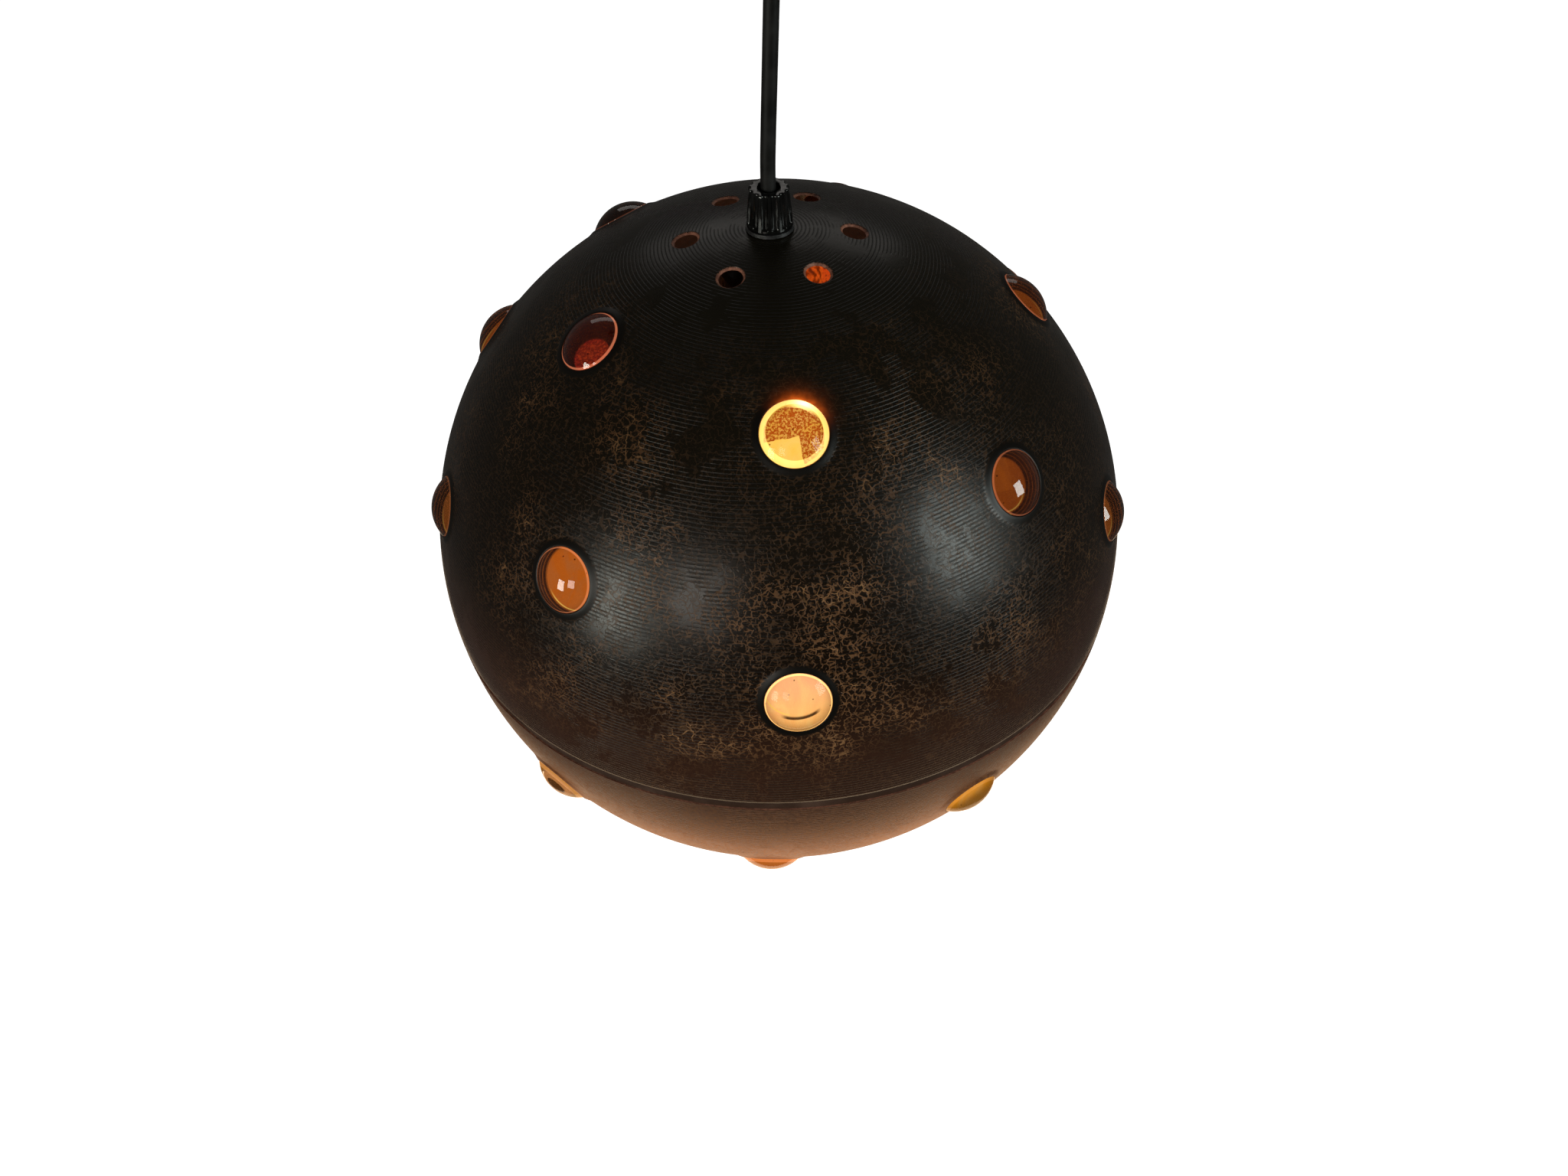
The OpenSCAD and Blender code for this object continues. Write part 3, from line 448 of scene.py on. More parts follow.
def amber_back():
    """The rough-cast underside of a button, lit through by the bulb: its glow is painted light. Its tone runs
    from dark red over orange and yellow to pale peach. Grains fill the part ahead in its crescent's
    direction. The crescent is painted
    shade: what lies outside a circle that is set off against that direction, with thin arcs in it and a
    painted golden highlight on its inner edge."""
    r = Recipe("amber_back")
    ahead, beside, rho = r.value("ahead"), r.value("beside"), r.value("rho")
    tone, glow, grain = r.value("tone"), r.value("glow"), r.value("grain")
    colour = r.mix(r.ramp(tone, 0.05, 0.40), (0.17, 0.009, 0.004), (0.55, 0.120, 0.007))
    colour = r.mix(r.ramp(tone, 0.42, 0.64), colour, (0.86, 0.33, 0.014))
    colour = r.mix(r.ramp(tone, 0.66, 0.80), colour, (1.0, 0.60, 0.085))
    peach = r.mix(r.ramp(ahead, -0.4, 0.9), (0.96, 0.44, 0.20), (1.0, 0.47, 0.13))
    colour = r.mix(r.ramp(tone, 0.82, 1.0), colour, peach)
    melt = r.ramp(r.noise(r.moved((1, 1, 0.5)), 110, 3, 0.6, 1.0), 0.38, 0.68, 0, 0.45)
    richer = r.mix(r.ramp(tone, 0.3, 0.8), (0.30, 0.040, 0.004), (1.0, 0.66, 0.22))
    colour = r.mix(melt, colour, richer)
    cast = r.ramp(r.noise(r.coords, 1300, 3, 0.7), 0.40, 0.56)
    edge = r.times(r.minus(r.noise(r.coords, 260, 2), 0.5), 0.10)
    where = r.most(r.ramp(r.plus(ahead, edge), -0.02, 0.0),
                   r.ramp(r.plus(beside, edge), 0.12, 0.15))
    where = r.most(where, r.ramp(tone, 0.05, 0.12, 1, 0))
    where = r.times(where, r.ramp(r.plus(rho, edge), 0.80, 0.83, 1, 0))
    grains = r.times(r.times(where, grain), r.ramp(cast, 0.0, 1.0, 0.45, 1.0))
    colour = r.mix(grains, colour, r.mix(r.ramp(tone, 0.1, 0.5), (0.04, 0.002, 0.001), (0.40, 0.070, 0.004)))
    # The crescent is painted shade, and the golden streak on its inner edge is a painted highlight
    from_centre = r.put("CombineXYZ", X=r.plus(ahead, 0.36), Y=beside).outputs[0]
    reach = r.distance(from_centre, (0, 0, 0))
    inside = r.minus(reach, r.value("moon_r"))
    moon = r.times(r.ramp(inside, -0.015, 0.03),
                  r.ramp(r.minus(inside, r.value("moon_w")), 0.0, 0.03, 1, 0))
    short = r.minus(r.size(beside), r.times(r.value("moon_w"), 5.0))
    moon = r.times(moon, r.ramp(short, -0.10, 0.12, 1, 0))
    arcs = r.ramp(r.math("SINE", r.times(reach, 62)), 0.35, 0.95)
    arcs = r.times(arcs, r.ramp(tone, 0.2, 0.4, 0.05, 0.38))
    moon = r.times(moon, r.minus(0.93, arcs))
    streak = r.times(r.ramp(r.size(r.plus(inside, 0.03)), 0.0, 0.03, 1, 0), r.ramp(beside, 0.15, 0.5))
    colour = r.mix(r.times(streak, r.ramp(tone, 0.3, 0.4)), colour, (1.0, 0.62, 0.12))
    fall = r.ramp(rho, 0.60, 1.12, 1.0, 0.35)
    strength = r.times(r.times(glow, fall), r.minus(1.0, moon))
    return r.finish(
        Base_Color=(0.04, 0.010, 0.003),
        Roughness=0.7,
        Specular_IOR_Level=0.0,
        Emission_Color=colour,
        Emission_Strength=strength,
        Normal=r.bump(cast, 0.0003, 0.7),
    )


def lit_side(name, colour, dark, rough, low, high):
    """A dull inner face with a patch of the bulb's light, which starts at x = low, is full at x = high and
    fades out downwards from z = -0.24 to z = -0.27."""
    r = Recipe(name)
    at = r.put("SeparateXYZ", Vector=r.coords)
    patch = r.noise(r.coords, 260, 3, 0.6)
    lit = r.times(r.ramp(at.outputs["X"], low, high), r.ramp(at.outputs["Z"], -0.27, -0.24))
    return r.finish(
        Base_Color=r.mix(r.ramp(patch, 0.4, 0.6), dark, colour),
        Roughness=rough,
        Emission_Color=r.mix(patch, (1.0, 0.07, 0.005), (1.0, 0.16, 0.012)),
        Emission_Strength=r.times(lit, r.ramp(patch, 0.35, 0.60, 0.12, 0.60)),
        Normal=r.bump(patch, 0.00008, 0.5),
    )


def lit_bulb():
    """Frosted bulb glass that glows, orange at the neck and paler over the globe."""
    r = Recipe("bulb_glass")
    height = r.put("SeparateXYZ", Vector=r.coords).outputs["Z"]
    glow = r.ramp(height, -0.290, -0.315)
    frost = r.noise(r.coords, 500, 2)
    warm = r.mix(glow, (1.0, 0.55, 0.25), (1.0, 0.78, 0.48))
    return r.finish(
        Base_Color=(0.9, 0.85, 0.75),
        Roughness=0.5,
        Emission_Color=r.mix(r.ramp(frost, 0.3, 0.7, 0, 0.15), warm, (1, 0.9, 0.7)),
        Emission_Strength=0.85,
    )


def cement_mix():
    r = Recipe("cement")
    grain = r.noise(r.coords, 900, 4, 0.7)
    return r.finish(
        Base_Color=r.mix(r.ramp(grain, 0.35, 0.7), (0.16, 0.12, 0.09), (0.32, 0.26, 0.20)),
        Roughness=0.9,
        Normal=r.bump(grain, 0.0004, 0.8),
    )


# The place on the inside, seen through a vent, where the bulb's light falls
LIT_INSIDE = (0.024, 0.139, -0.316)

UPPER = upper_lacquer()
LOWER = lower_lacquer()
BARE = worn_metal("bare_copper", (0.36, 0.15, 0.095), (0.16, 0.065, 0.042), 500, 0.25)
INSIDE = worn_metal("inside_copper", (0.12, 0.045, 0.025), (0.045, 0.016, 0.010), 60, 0.3, (0.5, 0.7),
                    LIT_INSIDE)
# Painted shade: the lip seen in the seam's groove is coloured darker than the lacquer
SEAM_SHADE = moulded("painted_seam_shade", (0.030, 0.014, 0.008), 1200, 0.45)
AMBER = amber("amber_glass", 1.5)
AMBER_PALE = amber("amber_pale", 1.22)
AMBER_BACK = amber_back()
FINISHES = {
    "painted_copper": UPPER,
    "amber_glass": AMBER,
    "cement": cement_mix(),
    "black_plastic": moulded("black_plastic", (0.0012, 0.0013, 0.0012), 1400, 0.07, 0.00001, 0.36),
    "cord_sheath": moulded("cord_sheath", (0.0032, 0.0031, 0.0030), 1500, 0.5, 0.00004, 0.2),
    "wire": moulded("wire_sheath", (0.16, 0.06, 0.025), 1500, 0.5),
    "zinc_steel": worn_metal("zinc_steel", (0.62, 0.63, 0.66), (0.42, 0.43, 0.45), 260, 1.0, (0.28, 0.45)),
    "dark_steel": worn_metal("dark_steel", (0.10, 0.10, 0.105), (0.05, 0.05, 0.05), 260, 0.9, (0.35, 0.5)),
    "brass": worn_metal("brass", (0.72, 0.50, 0.22), (0.45, 0.29, 0.11), 240, 1.0, (0.28, 0.45)),
    "bakelite": moulded("bakelite", (0.022, 0.013, 0.009), 900, 0.3),
    "porcelain": moulded("porcelain", (0.62, 0.59, 0.52), 500, 0.2, 0.00002),
    "bulb_glass": lit_bulb(),
    "cap_metal": worn_metal("cap_metal", (0.68, 0.66, 0.60), (0.45, 0.43, 0.38), 300, 1.0, (0.3, 0.5)),
}


# Shapes

def new_piece(name, verts, faces, materials, face_material=None, attributes=None, crease=35):
    """A mesh object at the origin, smooth but for edges sharper than crease, in degrees."""
    mesh = bpy.data.meshes.new(name)
    mesh.from_pydata(verts.tolist(), [], faces.tolist())
    for material in materials:
        mesh.materials.append(material)
    if face_material is not None:
        mesh.polygons.foreach_set("material_index", face_material.astype(np.int32))
    mesh.polygons.foreach_set("use_smooth", np.ones(len(faces), bool))
    mesh.update()
    mesh.set_sharp_from_angle(angle=math.radians(crease))
    for key, values in (attributes or {}).items():
        layer = mesh.attributes.new(key, "FLOAT", "POINT")
        layer.data.foreach_set("value", values.astype(np.float32))
    piece = bpy.data.objects.new(name, mesh)
    bpy.context.scene.collection.objects.link(piece)
    return piece


def triad(axis):
    """Two unit vectors that stand square to the axis and to each other."""
    side = np.cross(axis, [0, 0, 1]) if abs(axis[2]) < 0.99 else np.array([1.0, 0, 0])
    side = side / np.linalg.norm(side)
    return side, np.cross(axis, side)


def turned(profile, steps, centre=BALL, axis=(0, 0, 1)):
    """Surface of revolution: point (i, k) is centre + h_i axis + r_i (cos a side + sin a across), where a is
    2 pi k / steps. The profile is a closed loop of (r, h) with the body on its left. A point with r = 0 is
    one vertex."""
    profile = np.asarray(profile, float)
    axis = np.asarray(axis, float)
    side, across = triad(axis)
    if np.dot(np.cross(side, across), axis) < 0:
        across = -across
    n = len(profile)
    a = 2 * np.pi * np.arange(steps) / steps
    ring = np.cos(a)[None, :, None] * side + np.sin(a)[None, :, None] * across
    grid = centre + profile[:, 1][:, None, None] * axis + profile[:, 0][:, None, None] * ring
    index = np.arange(n * steps).reshape(n, steps)
    pole = profile[:, 0] < 1e-9
    index[pole] = index[pole][:, :1]
    p, q = index, np.roll(index, -1, axis=0)
    p2, q2 = np.roll(p, -1, axis=1), np.roll(q, -1, axis=1)
    faces = np.concatenate([
        np.stack([p, p2, q2], -1).reshape(-1, 3),
        np.stack([p, q2, q], -1).reshape(-1, 3),
    ])
    keep = (faces[:, 0] != faces[:, 1]) & (faces[:, 1] != faces[:, 2]) & (faces[:, 0] != faces[:, 2])
    faces = faces[keep]
    used, back = np.unique(faces, return_inverse=True)
    return grid.reshape(-1, 3)[used], back.reshape(-1, 3)


def collar_lift(rho):
    """Height of a pressed collar over the ball at the distance rho from its button's axis: a soft S (0.55)
    with a straight slope (0.45) from the foot up to the top, rounded over at the hole's edge."""
    foot = COLLAR_FOOT_R + COLLAR_BLEND
    u = np.clip((foot - rho) / (foot - COLLAR_TOP_R), 0, 1)
    rise = COLLAR_LIFT * (0.55 * u * u * (3 - 2 * u) + 0.45 * u)
    edge = np.clip((COLLAR_TOP_R - rho) / COLLAR_ROUND, 0, 1)
    return rise - COLLAR_ROUND_H * edge * edge


def bevel_drop(rho):
    """Depth of a vent's bevel under the ball: a straight cone from its outer edge down to the hole."""
    return VENT_BEVEL_H * np.clip((VENT_R + VENT_BEVEL - rho) / VENT_BEVEL, 0, 1)


def ring_on_ball(axis, rho, count):
    """Unit directions of count points on the ball that lie rho from the axis line."""
    side, across = triad(axis)
    a = 2 * np.pi * (np.arange(count) + 0.5) / count
    s = rho / BALL_R
    return math.sqrt(1 - s * s) * axis + s * (np.cos(a)[:, None] * side + np.sin(a)[:, None] * across)


# How far the outer wall keeps under the ball's true radius, so that it stays inside the solid
PAINT_SINK = 0.00005
# Rings of points round the holes, by their distance from the hole's edge. From FAR_RING on, a ring has three
# quarters of the hole's count. FIELD_GAP is the points' spacing elsewhere.
COLLAR_RINGS = [0.0001, 0.00022, 0.00035, 0.0007, 0.0013, 0.0020, 0.0027, 0.0035, 0.0045, 0.0060]
VENT_RINGS = [0.00055, 0.0011, 0.00135, 0.0020, 0.0032]
TUBE_RINGS = [0.001, 0.003]
FAR_RING = 0.003
FIELD_GAP = 0.0026
# Widths over which a collar's finish fades out at its foot, and the light beside the brightest button
HALO_FADE = 0.0016
SPILL_FADE = 0.0016
Hole = namedtuple("Hole", "axis radius count rings")


def circle(polar, count, up, turn=0.0):
    """Unit directions of count points at a polar angle from the pole, which is up (1) or down (-1). turn is
    the first point's azimuth in steps."""
    a = 2 * np.pi * (np.arange(count) + turn) / count
    high = np.full(count, up * math.cos(polar))
    return np.stack([math.sin(polar) * np.cos(a), math.sin(polar) * np.sin(a), high], -1)


def edge_count(polar):
    """How many points a shell's edge at that polar angle has."""
    return max(48, int(2 * math.pi * math.sin(polar) * BALL_R / FIELD_GAP))


def off_axis(points, axis):
    """Distance of each direction's point on the ball from the axis line."""
    return np.linalg.norm(np.cross(points, axis), axis=1) * BALL_R


def spread_points(holes, edges, polar_low, polar_high, up):
    """The loops along the holes' and shell's edges, and all points: the loops, the rings round the holes, and
    circles of equal arc round the pole that keep clear of them, every second one turned by half a step."""
    loops = [ring_on_ball(h.axis, h.radius, h.count) for h in holes]
    loops += [circle(polar, edge_count(polar), up) for polar in edges]
    rings = [ring_on_ball(h.axis, h.radius + out, h.count if out < FAR_RING else h.count * 3 // 4)
             for h in holes for out in h.rings]
    step = FIELD_GAP / BALL_R
    polars = np.arange(polar_low + step * 0.9, polar_high - step * 0.6, step)
    counts = [max(6, int(2 * math.pi * math.sin(polar) / step)) for polar in polars]
    field = [circle(polar, counts[i], up, 0.5 * (i % 2)) for i, polar in enumerate(polars)]
    field = np.concatenate(field)
    for h in holes:
        reach = h.radius + h.rings[-1] + FIELD_GAP * 0.55
        field = field[~((field @ h.axis > 0) & (off_axis(field, h.axis) < reach))]
    return loops, np.concatenate(loops + rings + [field])


def skin_triangles(points, loops, holes, polar_low, polar_high, up):
    """Triangles between the points, joined on the flat map (polar angle, azimuth) -> polar angle (cos, sin),
    facing outwards. Those over a hole or past an edge are left out."""
    polar = np.arccos(np.clip(points[:, 2] * up, -1, 1))
    azimuth = np.arctan2(points[:, 1], points[:, 0])
    flat = np.stack([polar * np.cos(azimuth), polar * np.sin(azimuth)], -1)
    ends = np.cumsum([len(loop) for loop in loops])
    border = [np.arange(end - len(loop), end) for loop, end in zip(loops, ends)]
    border = np.concatenate([np.stack([i, np.roll(i, -1)], -1) for i in border])
    made = delaunay_2d_cdt([Vector(p) for p in flat.tolist()], border.tolist(), [], 0, 1e-9, True)
    order = np.array([o[0] for o in made[3]])
    faces = order[np.array(made[2])]
    middle = points[faces].mean(axis=1)
    middle /= np.linalg.norm(middle, axis=1)[:, None]
    reach = np.arccos(np.clip(middle[:, 2] * up, -1, 1))
    keep = (reach > polar_low) & (reach < polar_high * 1.0001)
    for h in holes:
        keep &= ~((middle @ h.axis > 0) & (off_axis(middle, h.axis) < h.radius * 0.9999))
    faces = faces[keep]
    a, b, c = (points[faces[:, i]] for i in range(3))
    wrong = np.einsum("ij,ij->i", np.cross(b - a, c - a), a) < 0
    faces[wrong] = faces[wrong][:, ::-1]
    return faces


def collars_and_bevels(points, holes):
    """For each point: the height over the ball that collars and bevels give it, how far it lies in a collar
    (halo), and whether it lies on a vent's bevel (bare)."""
    lift, halo, bare = np.zeros((3, len(points)))
    for h in holes:
        rho = np.where(points @ h.axis > 0, off_axis(points, h.axis), 1.0)
        if h.radius == HOLE_R:
            lift += collar_lift(rho)
            halo = np.maximum(halo, np.clip((COLLAR_FOOT_R - rho) / HALO_FADE, 0, 1))
        elif h.radius == VENT_R:
            lift -= bevel_drop(rho)
            bare = np.maximum(bare, (rho < VENT_R + VENT_BEVEL * 0.98).astype(float))
    return lift, halo, bare


def spilt_light(points):
    """Light of the brightest button on the lacquer beside it. It goes with the fourth power of the cosine
    from the direction 0.34 right, 0.94 up, and with exp(-distance from the hole's edge / SPILL_FADE)."""
    axis = place_axis(*BUTTON_ROWS["a"][0])
    side, above = triad(axis)
    aside, along = points @ -side * BALL_R, points @ (above * np.sign(above[2])) * BALL_R
    reach = np.hypot(aside, along)
    toward = np.clip((aside * 0.34 + along * 0.94) / np.maximum(reach, 1e-6), 0, 1) ** 4
    return 0.9 * toward * np.exp(-np.clip(reach - HOLE_R, 0, 1) / SPILL_FADE) * (points @ axis > 0)


def inner_wall(points, lift, loops, edges, up):
    """The wall one sheet under the ball, raised behind the collars. Along the shell's edges it keeps the
    outer wall's height h, at the radius sqrt(inner_r^2 - h^2)."""
    inner = points * (BALL_R - SHEET + np.maximum(lift, 0))[:, None]
    start = sum(len(loop) for loop in loops[:len(loops) - len(edges)])
    for polar in edges:
        i = np.arange(start, start + edge_count(polar))
        height = up * math.cos(polar) * BALL_R
        r = math.sqrt((BALL_R - SHEET) ** 2 - height ** 2)
        a = np.arctan2(points[i, 1], points[i, 0])
        inner[i] = np.stack([r * np.cos(a), r * np.sin(a), np.full(len(i), height)], -1)
        start += len(i)
    return inner


def closing_strips(faces, count):
    """Two triangles from each free edge of the outer wall to the same edge of the inner wall, whose points
    come count later."""
    sides = np.concatenate([faces[:, [0, 1]], faces[:, [1, 2]], faces[:, [2, 0]]])
    key = sides[:, 0].astype(np.int64) * count + sides[:, 1]
    twin = sides[:, 1].astype(np.int64) * count + sides[:, 0]
    a, b = sides[~np.isin(key, twin)].T
    return np.concatenate([np.stack([b, a, a + count], -1), np.stack([b, a + count, b + count], -1)])


def spun_shell(places, up, polar_low, polar_high, vents=()):
    """One spun shell as a closed mesh round the pole up (1) or down (-1), between two polar angles. Its outer
    wall is ball_r + collar lift - bevel drop along each direction, its inner wall lies one sheet below, and
    strips close the edges. Materials: 0 lacquer, 1 bare metal on bevels and cut edges, 2 the inside."""
    holes = [Hole(place_axis(*place), HOLE_R, 96, COLLAR_RINGS) for place in places]
    holes += [Hole(axis, VENT_R, 64, VENT_RINGS) for axis in vents]
    if up > 0:
        holes.append(Hole(np.array([0.0, 0.0, 1.0]), TUBE_HOLE_R, 48, TUBE_RINGS))
    edges = [polar for polar in (polar_low, polar_high) if polar > 0]
    loops, points = spread_points(holes, edges, polar_low, polar_high, up)
    faces = skin_triangles(points, loops, holes, polar_low, polar_high, up)
    lift, halo, bare = collars_and_bevels(points, holes)
    outer = points * (BALL_R - PAINT_SINK + lift)[:, None]
    inner = inner_wall(points, lift, loops, edges, up)
    strips = closing_strips(faces, len(points))
    all_faces = np.concatenate([faces, faces[:, ::-1] + len(points), strips])
    bevel = bare[faces].mean(axis=1) > 0.5
    which = np.concatenate([np.where(bevel, 1, 0), np.full(len(faces), 2), np.full(len(strips), 1)])
    used, back = np.unique(all_faces, return_inverse=True)
    arc = BALL_R * np.arccos(np.clip(points[:, 2], -1, 1))
    fields = {"arc": arc, "halo": halo, "spill": spilt_light(points)}
    attributes = {key: np.tile(values, 2)[used] for key, values in fields.items()}
    return (np.concatenate([outer, inner]) + BALL)[used], back.reshape(-1, 3), which, attributes


def arc_points(centre, radius, start, stop, count):
    """Points of a circular arc in (r, h), angles in degrees."""
    a = np.radians(np.linspace(start, stop, count))
    return np.stack([centre[0] + radius * np.cos(a), centre[1] + radius * np.sin(a)], -1)


def make_upper_shell():
    vents = circle(math.asin(VENT_RING_R / BALL_R), VENTS, 1, VENT_TURN * VENTS / 360)
    places = [place for row in "abc" for place in BUTTON_ROWS[row]]
    made = spun_shell(places, 1, 0.0, math.acos(-SEAM_DROP / BALL_R), vents)
    piece = new_piece("upper_skin", *made[:2], [UPPER, BARE, INSIDE], *made[2:])
    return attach(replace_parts(piece, "upper_shell"), "ball")


def make_lower_shell():
    places = [place for row in "de" for place in BUTTON_ROWS[row]]
    top = math.acos((SEAM_DROP + SEAM_GAP) / BALL_R)
    low = math.asin(MOUTH_R / BALL_R)
    verts, faces, which, attributes = spun_shell(places, -1, low, top)
    # The lip that the upper shell sits over, and the bead rolled round the mouth
    lip = np.concatenate([
        [(LIP_R - SHEET, LIP_LOW), (LIP_R, LIP_LOW)],
        np.stack([np.full(9, LIP_R), np.linspace(LIP_LOW, LIP_TOP - 0.0004, 9)], -1)[1:],
        arc_points((LIP_R - SHEET / 2, LIP_TOP - 0.0005), SHEET / 2, 12, 168, 7),
        np.stack([np.full(9, LIP_R - SHEET), np.linspace(LIP_TOP - 0.0006, LIP_LOW, 9)], -1)[:-1],
    ])
    lip_v, lip_f = turned(lip, 240)
    at = BALL_R - BEAD_R + BEAD_PROUD
    mouth = (at * MOUTH_R / BALL_R, -at * math.sqrt(1 - (MOUTH_R / BALL_R) ** 2))
    bead_v, bead_f = turned(arc_points(mouth, BEAD_R, 0, 345, 24), 200)
    n = [len(verts), len(verts) + len(lip_v)]
    all_v = np.concatenate([verts, lip_v, bead_v])
    all_f = np.concatenate([faces, lip_f + n[0], bead_f + n[1]])
    # Material 3 on the lip is painted shade in the seam's groove
    which = np.concatenate([which, np.full(len(lip_f), 3), np.zeros(len(bead_f))])
    attributes = {
        "arc": np.concatenate([attributes["arc"], np.full(len(lip_v) + len(bead_v), BEAD_ARC)]),
        "halo": np.concatenate([attributes["halo"], np.zeros(len(lip_v) + len(bead_v))]),
        "spill": np.zeros(len(all_v)),
    }
    piece = new_piece("lower_skin", all_v, all_f, [LOWER, BARE, INSIDE, SEAM_SHADE], which, attributes)
    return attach(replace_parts(piece, "lower_shell"), "lower_ball")


def make_button(name, place, body):
    """A lathe-turned button: flange, shank and dome, the flange's lower corner rounded. rho is the distance
    from its axis over the dome's radius, and across and up are its two parts. hot is the flare at the upper
    right-hand edge of the brightest button."""
    top = COLLAR_TOP + DOME_H
    edge = math.degrees(math.asin((COLLAR_TOP - (top - DOME_R)) / DOME_R))
    corner = 0.0006
    profile = np.concatenate([
        [(0, FLANGE_LOW), (FLANGE_R * 0.5, FLANGE_LOW)],
        arc_points((FLANGE_R - corner, FLANGE_LOW + corner), corner, -90, 0, 5),
        [(FLANGE_R, SHOULDER_LOW - 0.0001), (COLLAR_TOP_R, SHOULDER), (GLASS_R, SHOULDER)],
        [(GLASS_R, COLLAR_TOP - 0.0003)],
        arc_points((0, top - DOME_R), DOME_R, edge, 90, 26)[:-1],
        [(0, top)],
    ])
    axis = place_axis(*place)
    verts, faces = turned(profile, 96, BALL, axis)
    side, upward = triad(axis)
    right, upward = -side, upward * np.sign(upward[2])
    out = verts - BALL
    across, up = out @ right / GLASS_R, out @ upward / GLASS_R
    height = out @ axis
    look = BUTTON_LOOKS.get(name[-2:], PLAIN_LOOK)
    way = math.radians(look.way)
    rho = np.hypot(across, up)
    face = (height > COLLAR_TOP - 0.0004) | (height < FLANGE_LOW + 0.0007)
    hot = np.exp(-((across - 0.36) ** 2 + (up - 0.86) ** 2) / 0.10) * (rho > 0.72)
    attributes = {key: np.full(len(verts), value) for key, value in look._asdict().items() if key != "way"}
    attributes |= {
        "ahead": across * math.cos(way) + up * math.sin(way),
        "beside": (across * math.sin(way) - up * math.cos(way)) * (1 if math.cos(way) > -0.4 else -1),
        "rho": np.where(face, rho, 0.0),
        "hot": hot * (name == "glass_a1"),
    }
    back = height[faces].max(axis=1) < FLANGE_LOW + 0.0004
    clear = AMBER_PALE if look.tone > 0.5 else AMBER
    glass = [clear, AMBER_BACK]
    piece = new_piece("button_" + name[-2:], verts, faces, glass, back.astype(int), attributes, 40)
    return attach(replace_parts(piece, name), body)


def make_grip():
    """The cord grip: point (i, k) lies at the height h_i and the radius r_i - m_i f(a_k), where f is a
    flute's arc, sqrt(cut^2 - s^2) - (cut - depth) at the distance s along the wall from the flute's middle,
    and m_i is 1 on the fluted wall, 0.9 at its foot and 0 elsewhere."""
    top = GRIP_LOW + GRIP_H
    wall = np.linspace(0, 1, 22)[1:-1]
    cone = GRIP_FOOT_R + (GRIP_TOP_R - GRIP_FOOT_R) * wall
    foot = 0.0012
    bore = TUBE_R + 0.0003
    rows = [
        (bore, GRIP_LOW, 0),
        (GRIP_FOOT_R - 0.0003, GRIP_LOW, 0),
        (GRIP_FOOT_R, GRIP_LOW + 0.0003, 0),
        (GRIP_FOOT_R - 0.00008, GRIP_LOW + foot * 0.9, 0),
        (GRIP_FOOT_R - 0.00012, GRIP_LOW + foot * 1.15, 0.9),
    ]
    rows += [(r, GRIP_LOW + GRIP_H * t, 1) for r, t in zip(cone, wall)
             if GRIP_H * t > foot * 1.3 and t < 0.95]
    rows += [(GRIP_TOP_R - GRIP_EDGE * (1 - math.cos(a)), top - GRIP_EDGE * (1 - math.sin(a)), 1)
             for a in np.linspace(0.1, math.pi / 2, 6)]
    # The recess in the top, and the shoulder over the tube's end
    shoulder = TUBE_TOP + 0.0012
    rows += [
        (RECESS_R + 0.0004, top, 0),
        (RECESS_R + 0.0001, top - 0.0001, 0),
        (RECESS_R, top - 0.0004, 0),
        (RECESS_R, top - RECESS_H, 0),
        (TUBE_BORE_R, top - RECESS_H, 0),
        (TUBE_BORE_R, shoulder, 0),
        (bore, shoulder, 0),
    ]
    r, h, m = np.array(rows).T
    steps = FLUTES * 26
    a = 2 * np.pi * np.arange(steps) / steps
    turn = (a + np.pi / FLUTES) % (2 * np.pi / FLUTES) - np.pi / FLUTES
    s = turn[None, :] * r[:, None]
    flute = np.sqrt(np.clip(FLUTE_CUT_R ** 2 - s ** 2, 0, None)) - (FLUTE_CUT_R - FLUTE_DEPTH)
    radius = r[:, None] - m[:, None] * np.clip(flute, 0, None)
    z = np.broadcast_to(h[:, None], radius.shape)
    grid = BALL + [0, 0, BALL_R] + np.stack([radius * np.cos(a), radius * np.sin(a), z], -1)
    index = np.arange(len(r) * steps).reshape(len(r), steps)
    p, q = index, np.roll(index, -1, axis=0)
    faces = np.stack([p, np.roll(p, -1, axis=1), np.roll(q, -1, axis=1), q], -1).reshape(-1, 4)
    piece = new_piece("fluted_grip", grid.reshape(-1, 3), faces, [FINISHES["black_plastic"]], crease=40)
    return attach(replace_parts(piece, "cord_grip"), "grip")


def make_cord():
    """The cord's centreline: a Catmull-Rom curve through the route's points, four steps to each."""
    route = np.array([(x, 0, z) for x, z in CORD_ROUTE], float) / 1000
    p = np.concatenate([[2 * route[0] - route[1]], route, [2 * route[-1] - route[-2]]])
    t = np.linspace(0, 1, 4, endpoint=False)[None, :, None]
    a, b, c, d = (p[i:len(p) - 3 + i, None, :] for i in range(4))
    line = 2 * b + (c - a) * t + (2 * a - 5 * b + 4 * c - d) * t ** 2 + (3 * b - a - 3 * c + d) * t ** 3
    line = np.concatenate([0.5 * line.reshape(-1, 3), route[-1:]])
    curve = bpy.data.curves.new("cord_line", "CURVE")
    curve.dimensions = "3D"
    curve.bevel_depth = CORD_R
    curve.bevel_resolution = 6
    curve.use_fill_caps = True
    spline = curve.splines.new("POLY")
    spline.points.add(len(line) - 1)
    spline.points.foreach_set("co", np.column_stack([line, np.ones(len(line))]).ravel())
    curve.materials.append(FINISHES["cord_sheath"])
    cord = bpy.data.objects.new("cord_sheath", curve)
    bpy.context.scene.collection.objects.link(cord)
    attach(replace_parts(cord, "cord"), "hanger")


make_cord()

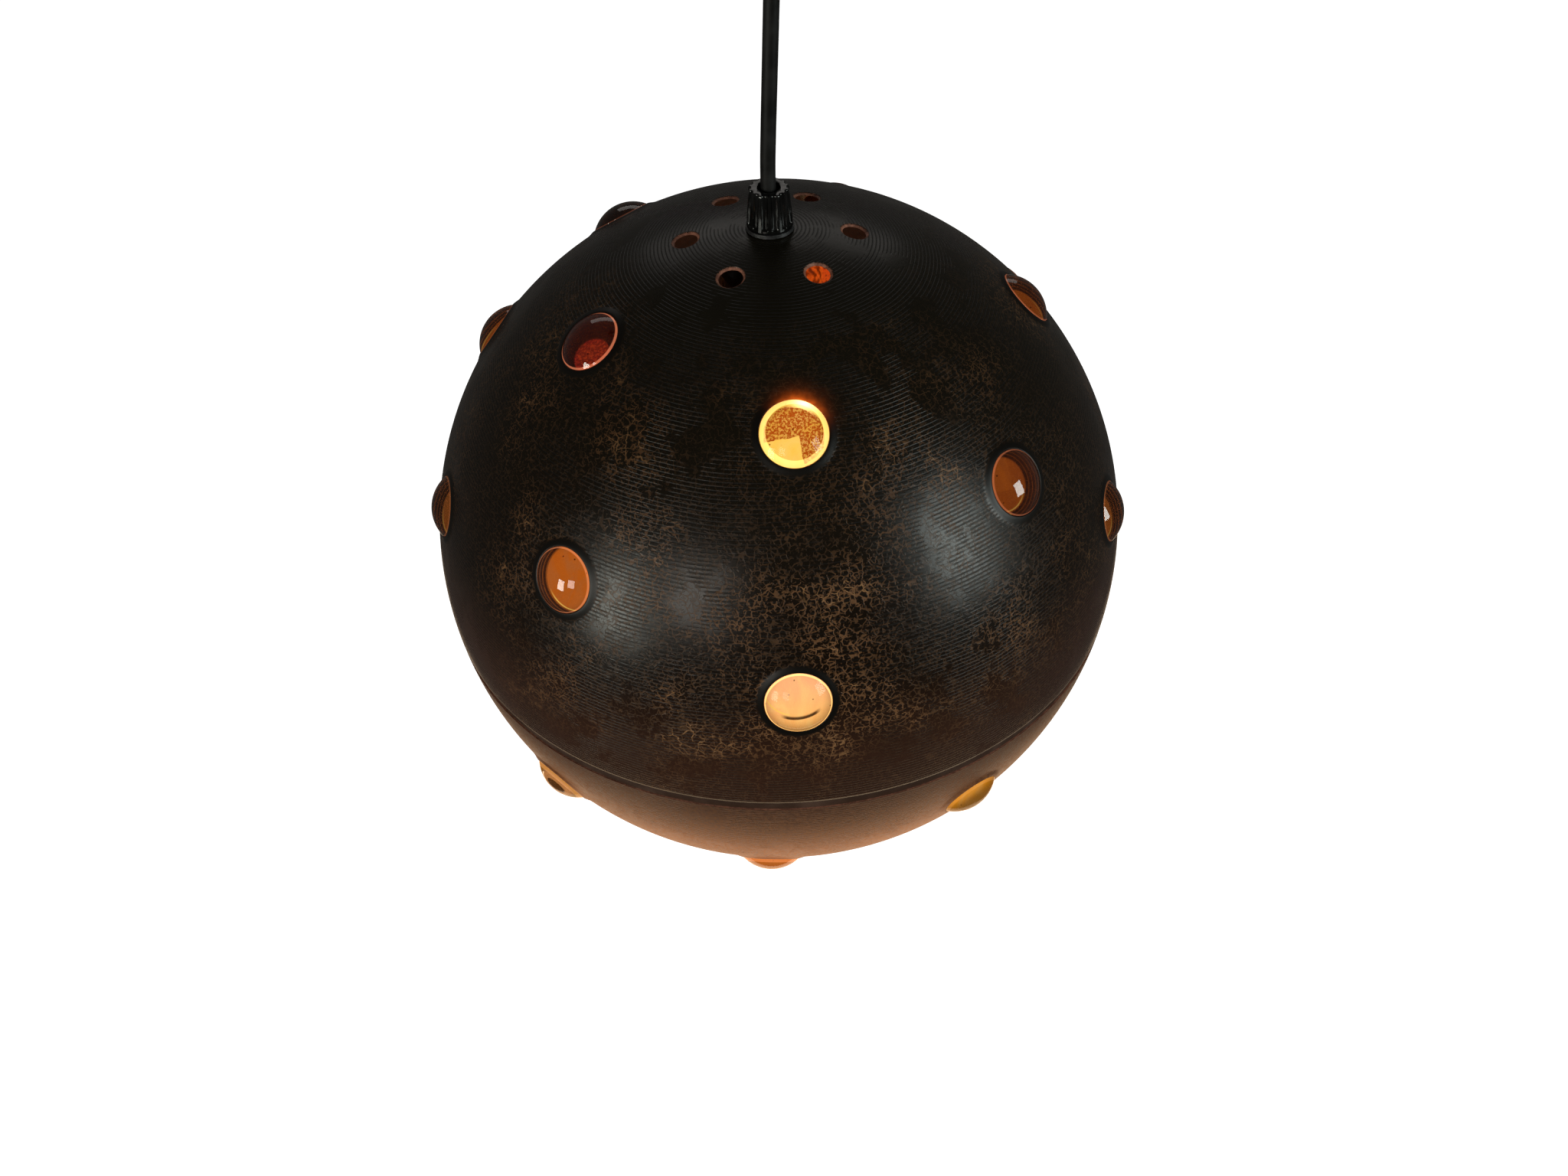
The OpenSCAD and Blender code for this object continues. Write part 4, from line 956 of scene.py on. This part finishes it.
for part in frame["record"]["subparts"]:
    node = nodes[part["node"]]
    node.data.materials.clear()
    node.data.materials.append(FINISHES[part["material_slot"]])
nodes["holder_cap"].data.materials[0] = lit_side("lit_cap", (0.030, 0.016, 0.010), (0.014, 0.009, 0.007), 0.3,
                                                 0.004, 0.010)

make_upper_shell()
make_lower_shell()
make_grip()
for row, places in BUTTON_ROWS.items():
    for i, place in enumerate(places):
        make_button(f"glass_{row}{i + 1}", place, "ball" if row in "abc" else "lower_ball")


# Stage: a pale round room, three windows and soft fill

def light(name, kind, azimuth, elevation, distance, size, power, colour):
    """A lamp seen from the ball at that azimuth from the front and that elevation, in degrees. Distance and
    size are in metres and power in watts."""
    a, e = math.radians(azimuth), math.radians(elevation)
    way = Vector((math.sin(a) * math.cos(e), -math.cos(a) * math.cos(e), math.sin(e)))
    where = Vector(BALL) + distance * way
    data = bpy.data.lights.new(name, kind)
    data.energy = power
    data.color = colour
    if kind == "AREA":
        data.shape = "RECTANGLE"
        data.size, data.size_y = size
    else:
        data.shadow_soft_size = size[0]
    lamp = bpy.data.objects.new(name, data)
    lamp.location = where
    lamp.rotation_mode = "QUATERNION"
    lamp.rotation_quaternion = (Vector(BALL) - where).to_track_quat("-Z", "Y")
    lamp.visible_camera = False
    bpy.context.scene.collection.objects.link(lamp)


# The room's floor is flat out to FLOOR_R, curves up by CURVE_R and goes on as half a ball
FLOOR_R = 4
CURVE_R = 3
ROOM_WALL = 0.05
FLOOR_DROP = 0.79


def make_room():
    """Floor and backdrop in one, a thin closed surface of revolution that only the camera sees."""
    r = Recipe("pale_room")
    grain = r.noise(r.coords, 3, 3)
    material = r.finish(
        Base_Color=r.mix(grain, (0.80, 0.80, 0.80), (0.84, 0.84, 0.84)),
        Roughness=0.9,
        Emission_Color=(1, 1, 1),
        Emission_Strength=1.0,
    )
    dome_r = FLOOR_R + CURVE_R
    outside, inside = [np.concatenate([
        [(0, -t), (FLOOR_R / 2, -t)],
        arc_points((FLOOR_R, CURVE_R), CURVE_R + t, -90, 0, 17),
        arc_points((0, CURVE_R), dome_r + t, 0, 90, 25)[1:-1],
        [(0, CURVE_R + dome_r + t)],
    ]) for t in (ROOM_WALL, 0.0)]
    verts, faces = turned(np.concatenate([outside, inside[::-1]]), 72, BALL - [0, 0, FLOOR_DROP])
    room = new_piece("pale_room", verts, faces, [material])
    room.visible_glossy = False
    room.visible_diffuse = False
    room.visible_transmission = False
    room.visible_shadow = False


def make_lights():
    world = bpy.data.worlds.new("studio")
    world.use_nodes = True
    sky = world.node_tree.nodes["Background"]
    sky.inputs["Color"].default_value = (1.0, 0.95, 0.88, 1)
    sky.inputs["Strength"].default_value = 0.07
    bpy.context.scene.world = world
    light("window_right", "AREA", 59, 16.5, 1.7, (0.58, 0.85), 17.5, (0.90, 0.98, 0.93))
    light("window_left", "AREA", -49.5, 6.5, 1.7, (0.44, 0.66), 12, (0.96, 0.97, 0.86))
    light("window_front", "AREA", -26, 16.5, 1.9, (0.50, 0.60), 7.5, (1.0, 0.93, 0.84))
    light("wall_behind", "AREA", 180, 34, 1.8, (1.6, 0.5), 2.0, (1.0, 0.95, 0.90))
    light("floor_glow", "AREA", 180, -74, 0.72, (0.9, 0.9), 3.1, (1.0, 0.70, 0.44))
    # The bulb's own light stands inside its globe, whose glass casts no shadow
    light("bulb_light", "POINT", 0, 90, 0.037, (0.028,), 0.35, (1.0, 0.62, 0.32))
    nodes["bulb_glass"].visible_shadow = False
    bpy.context.scene.view_settings.view_transform = "Standard"


make_room()
make_lights()
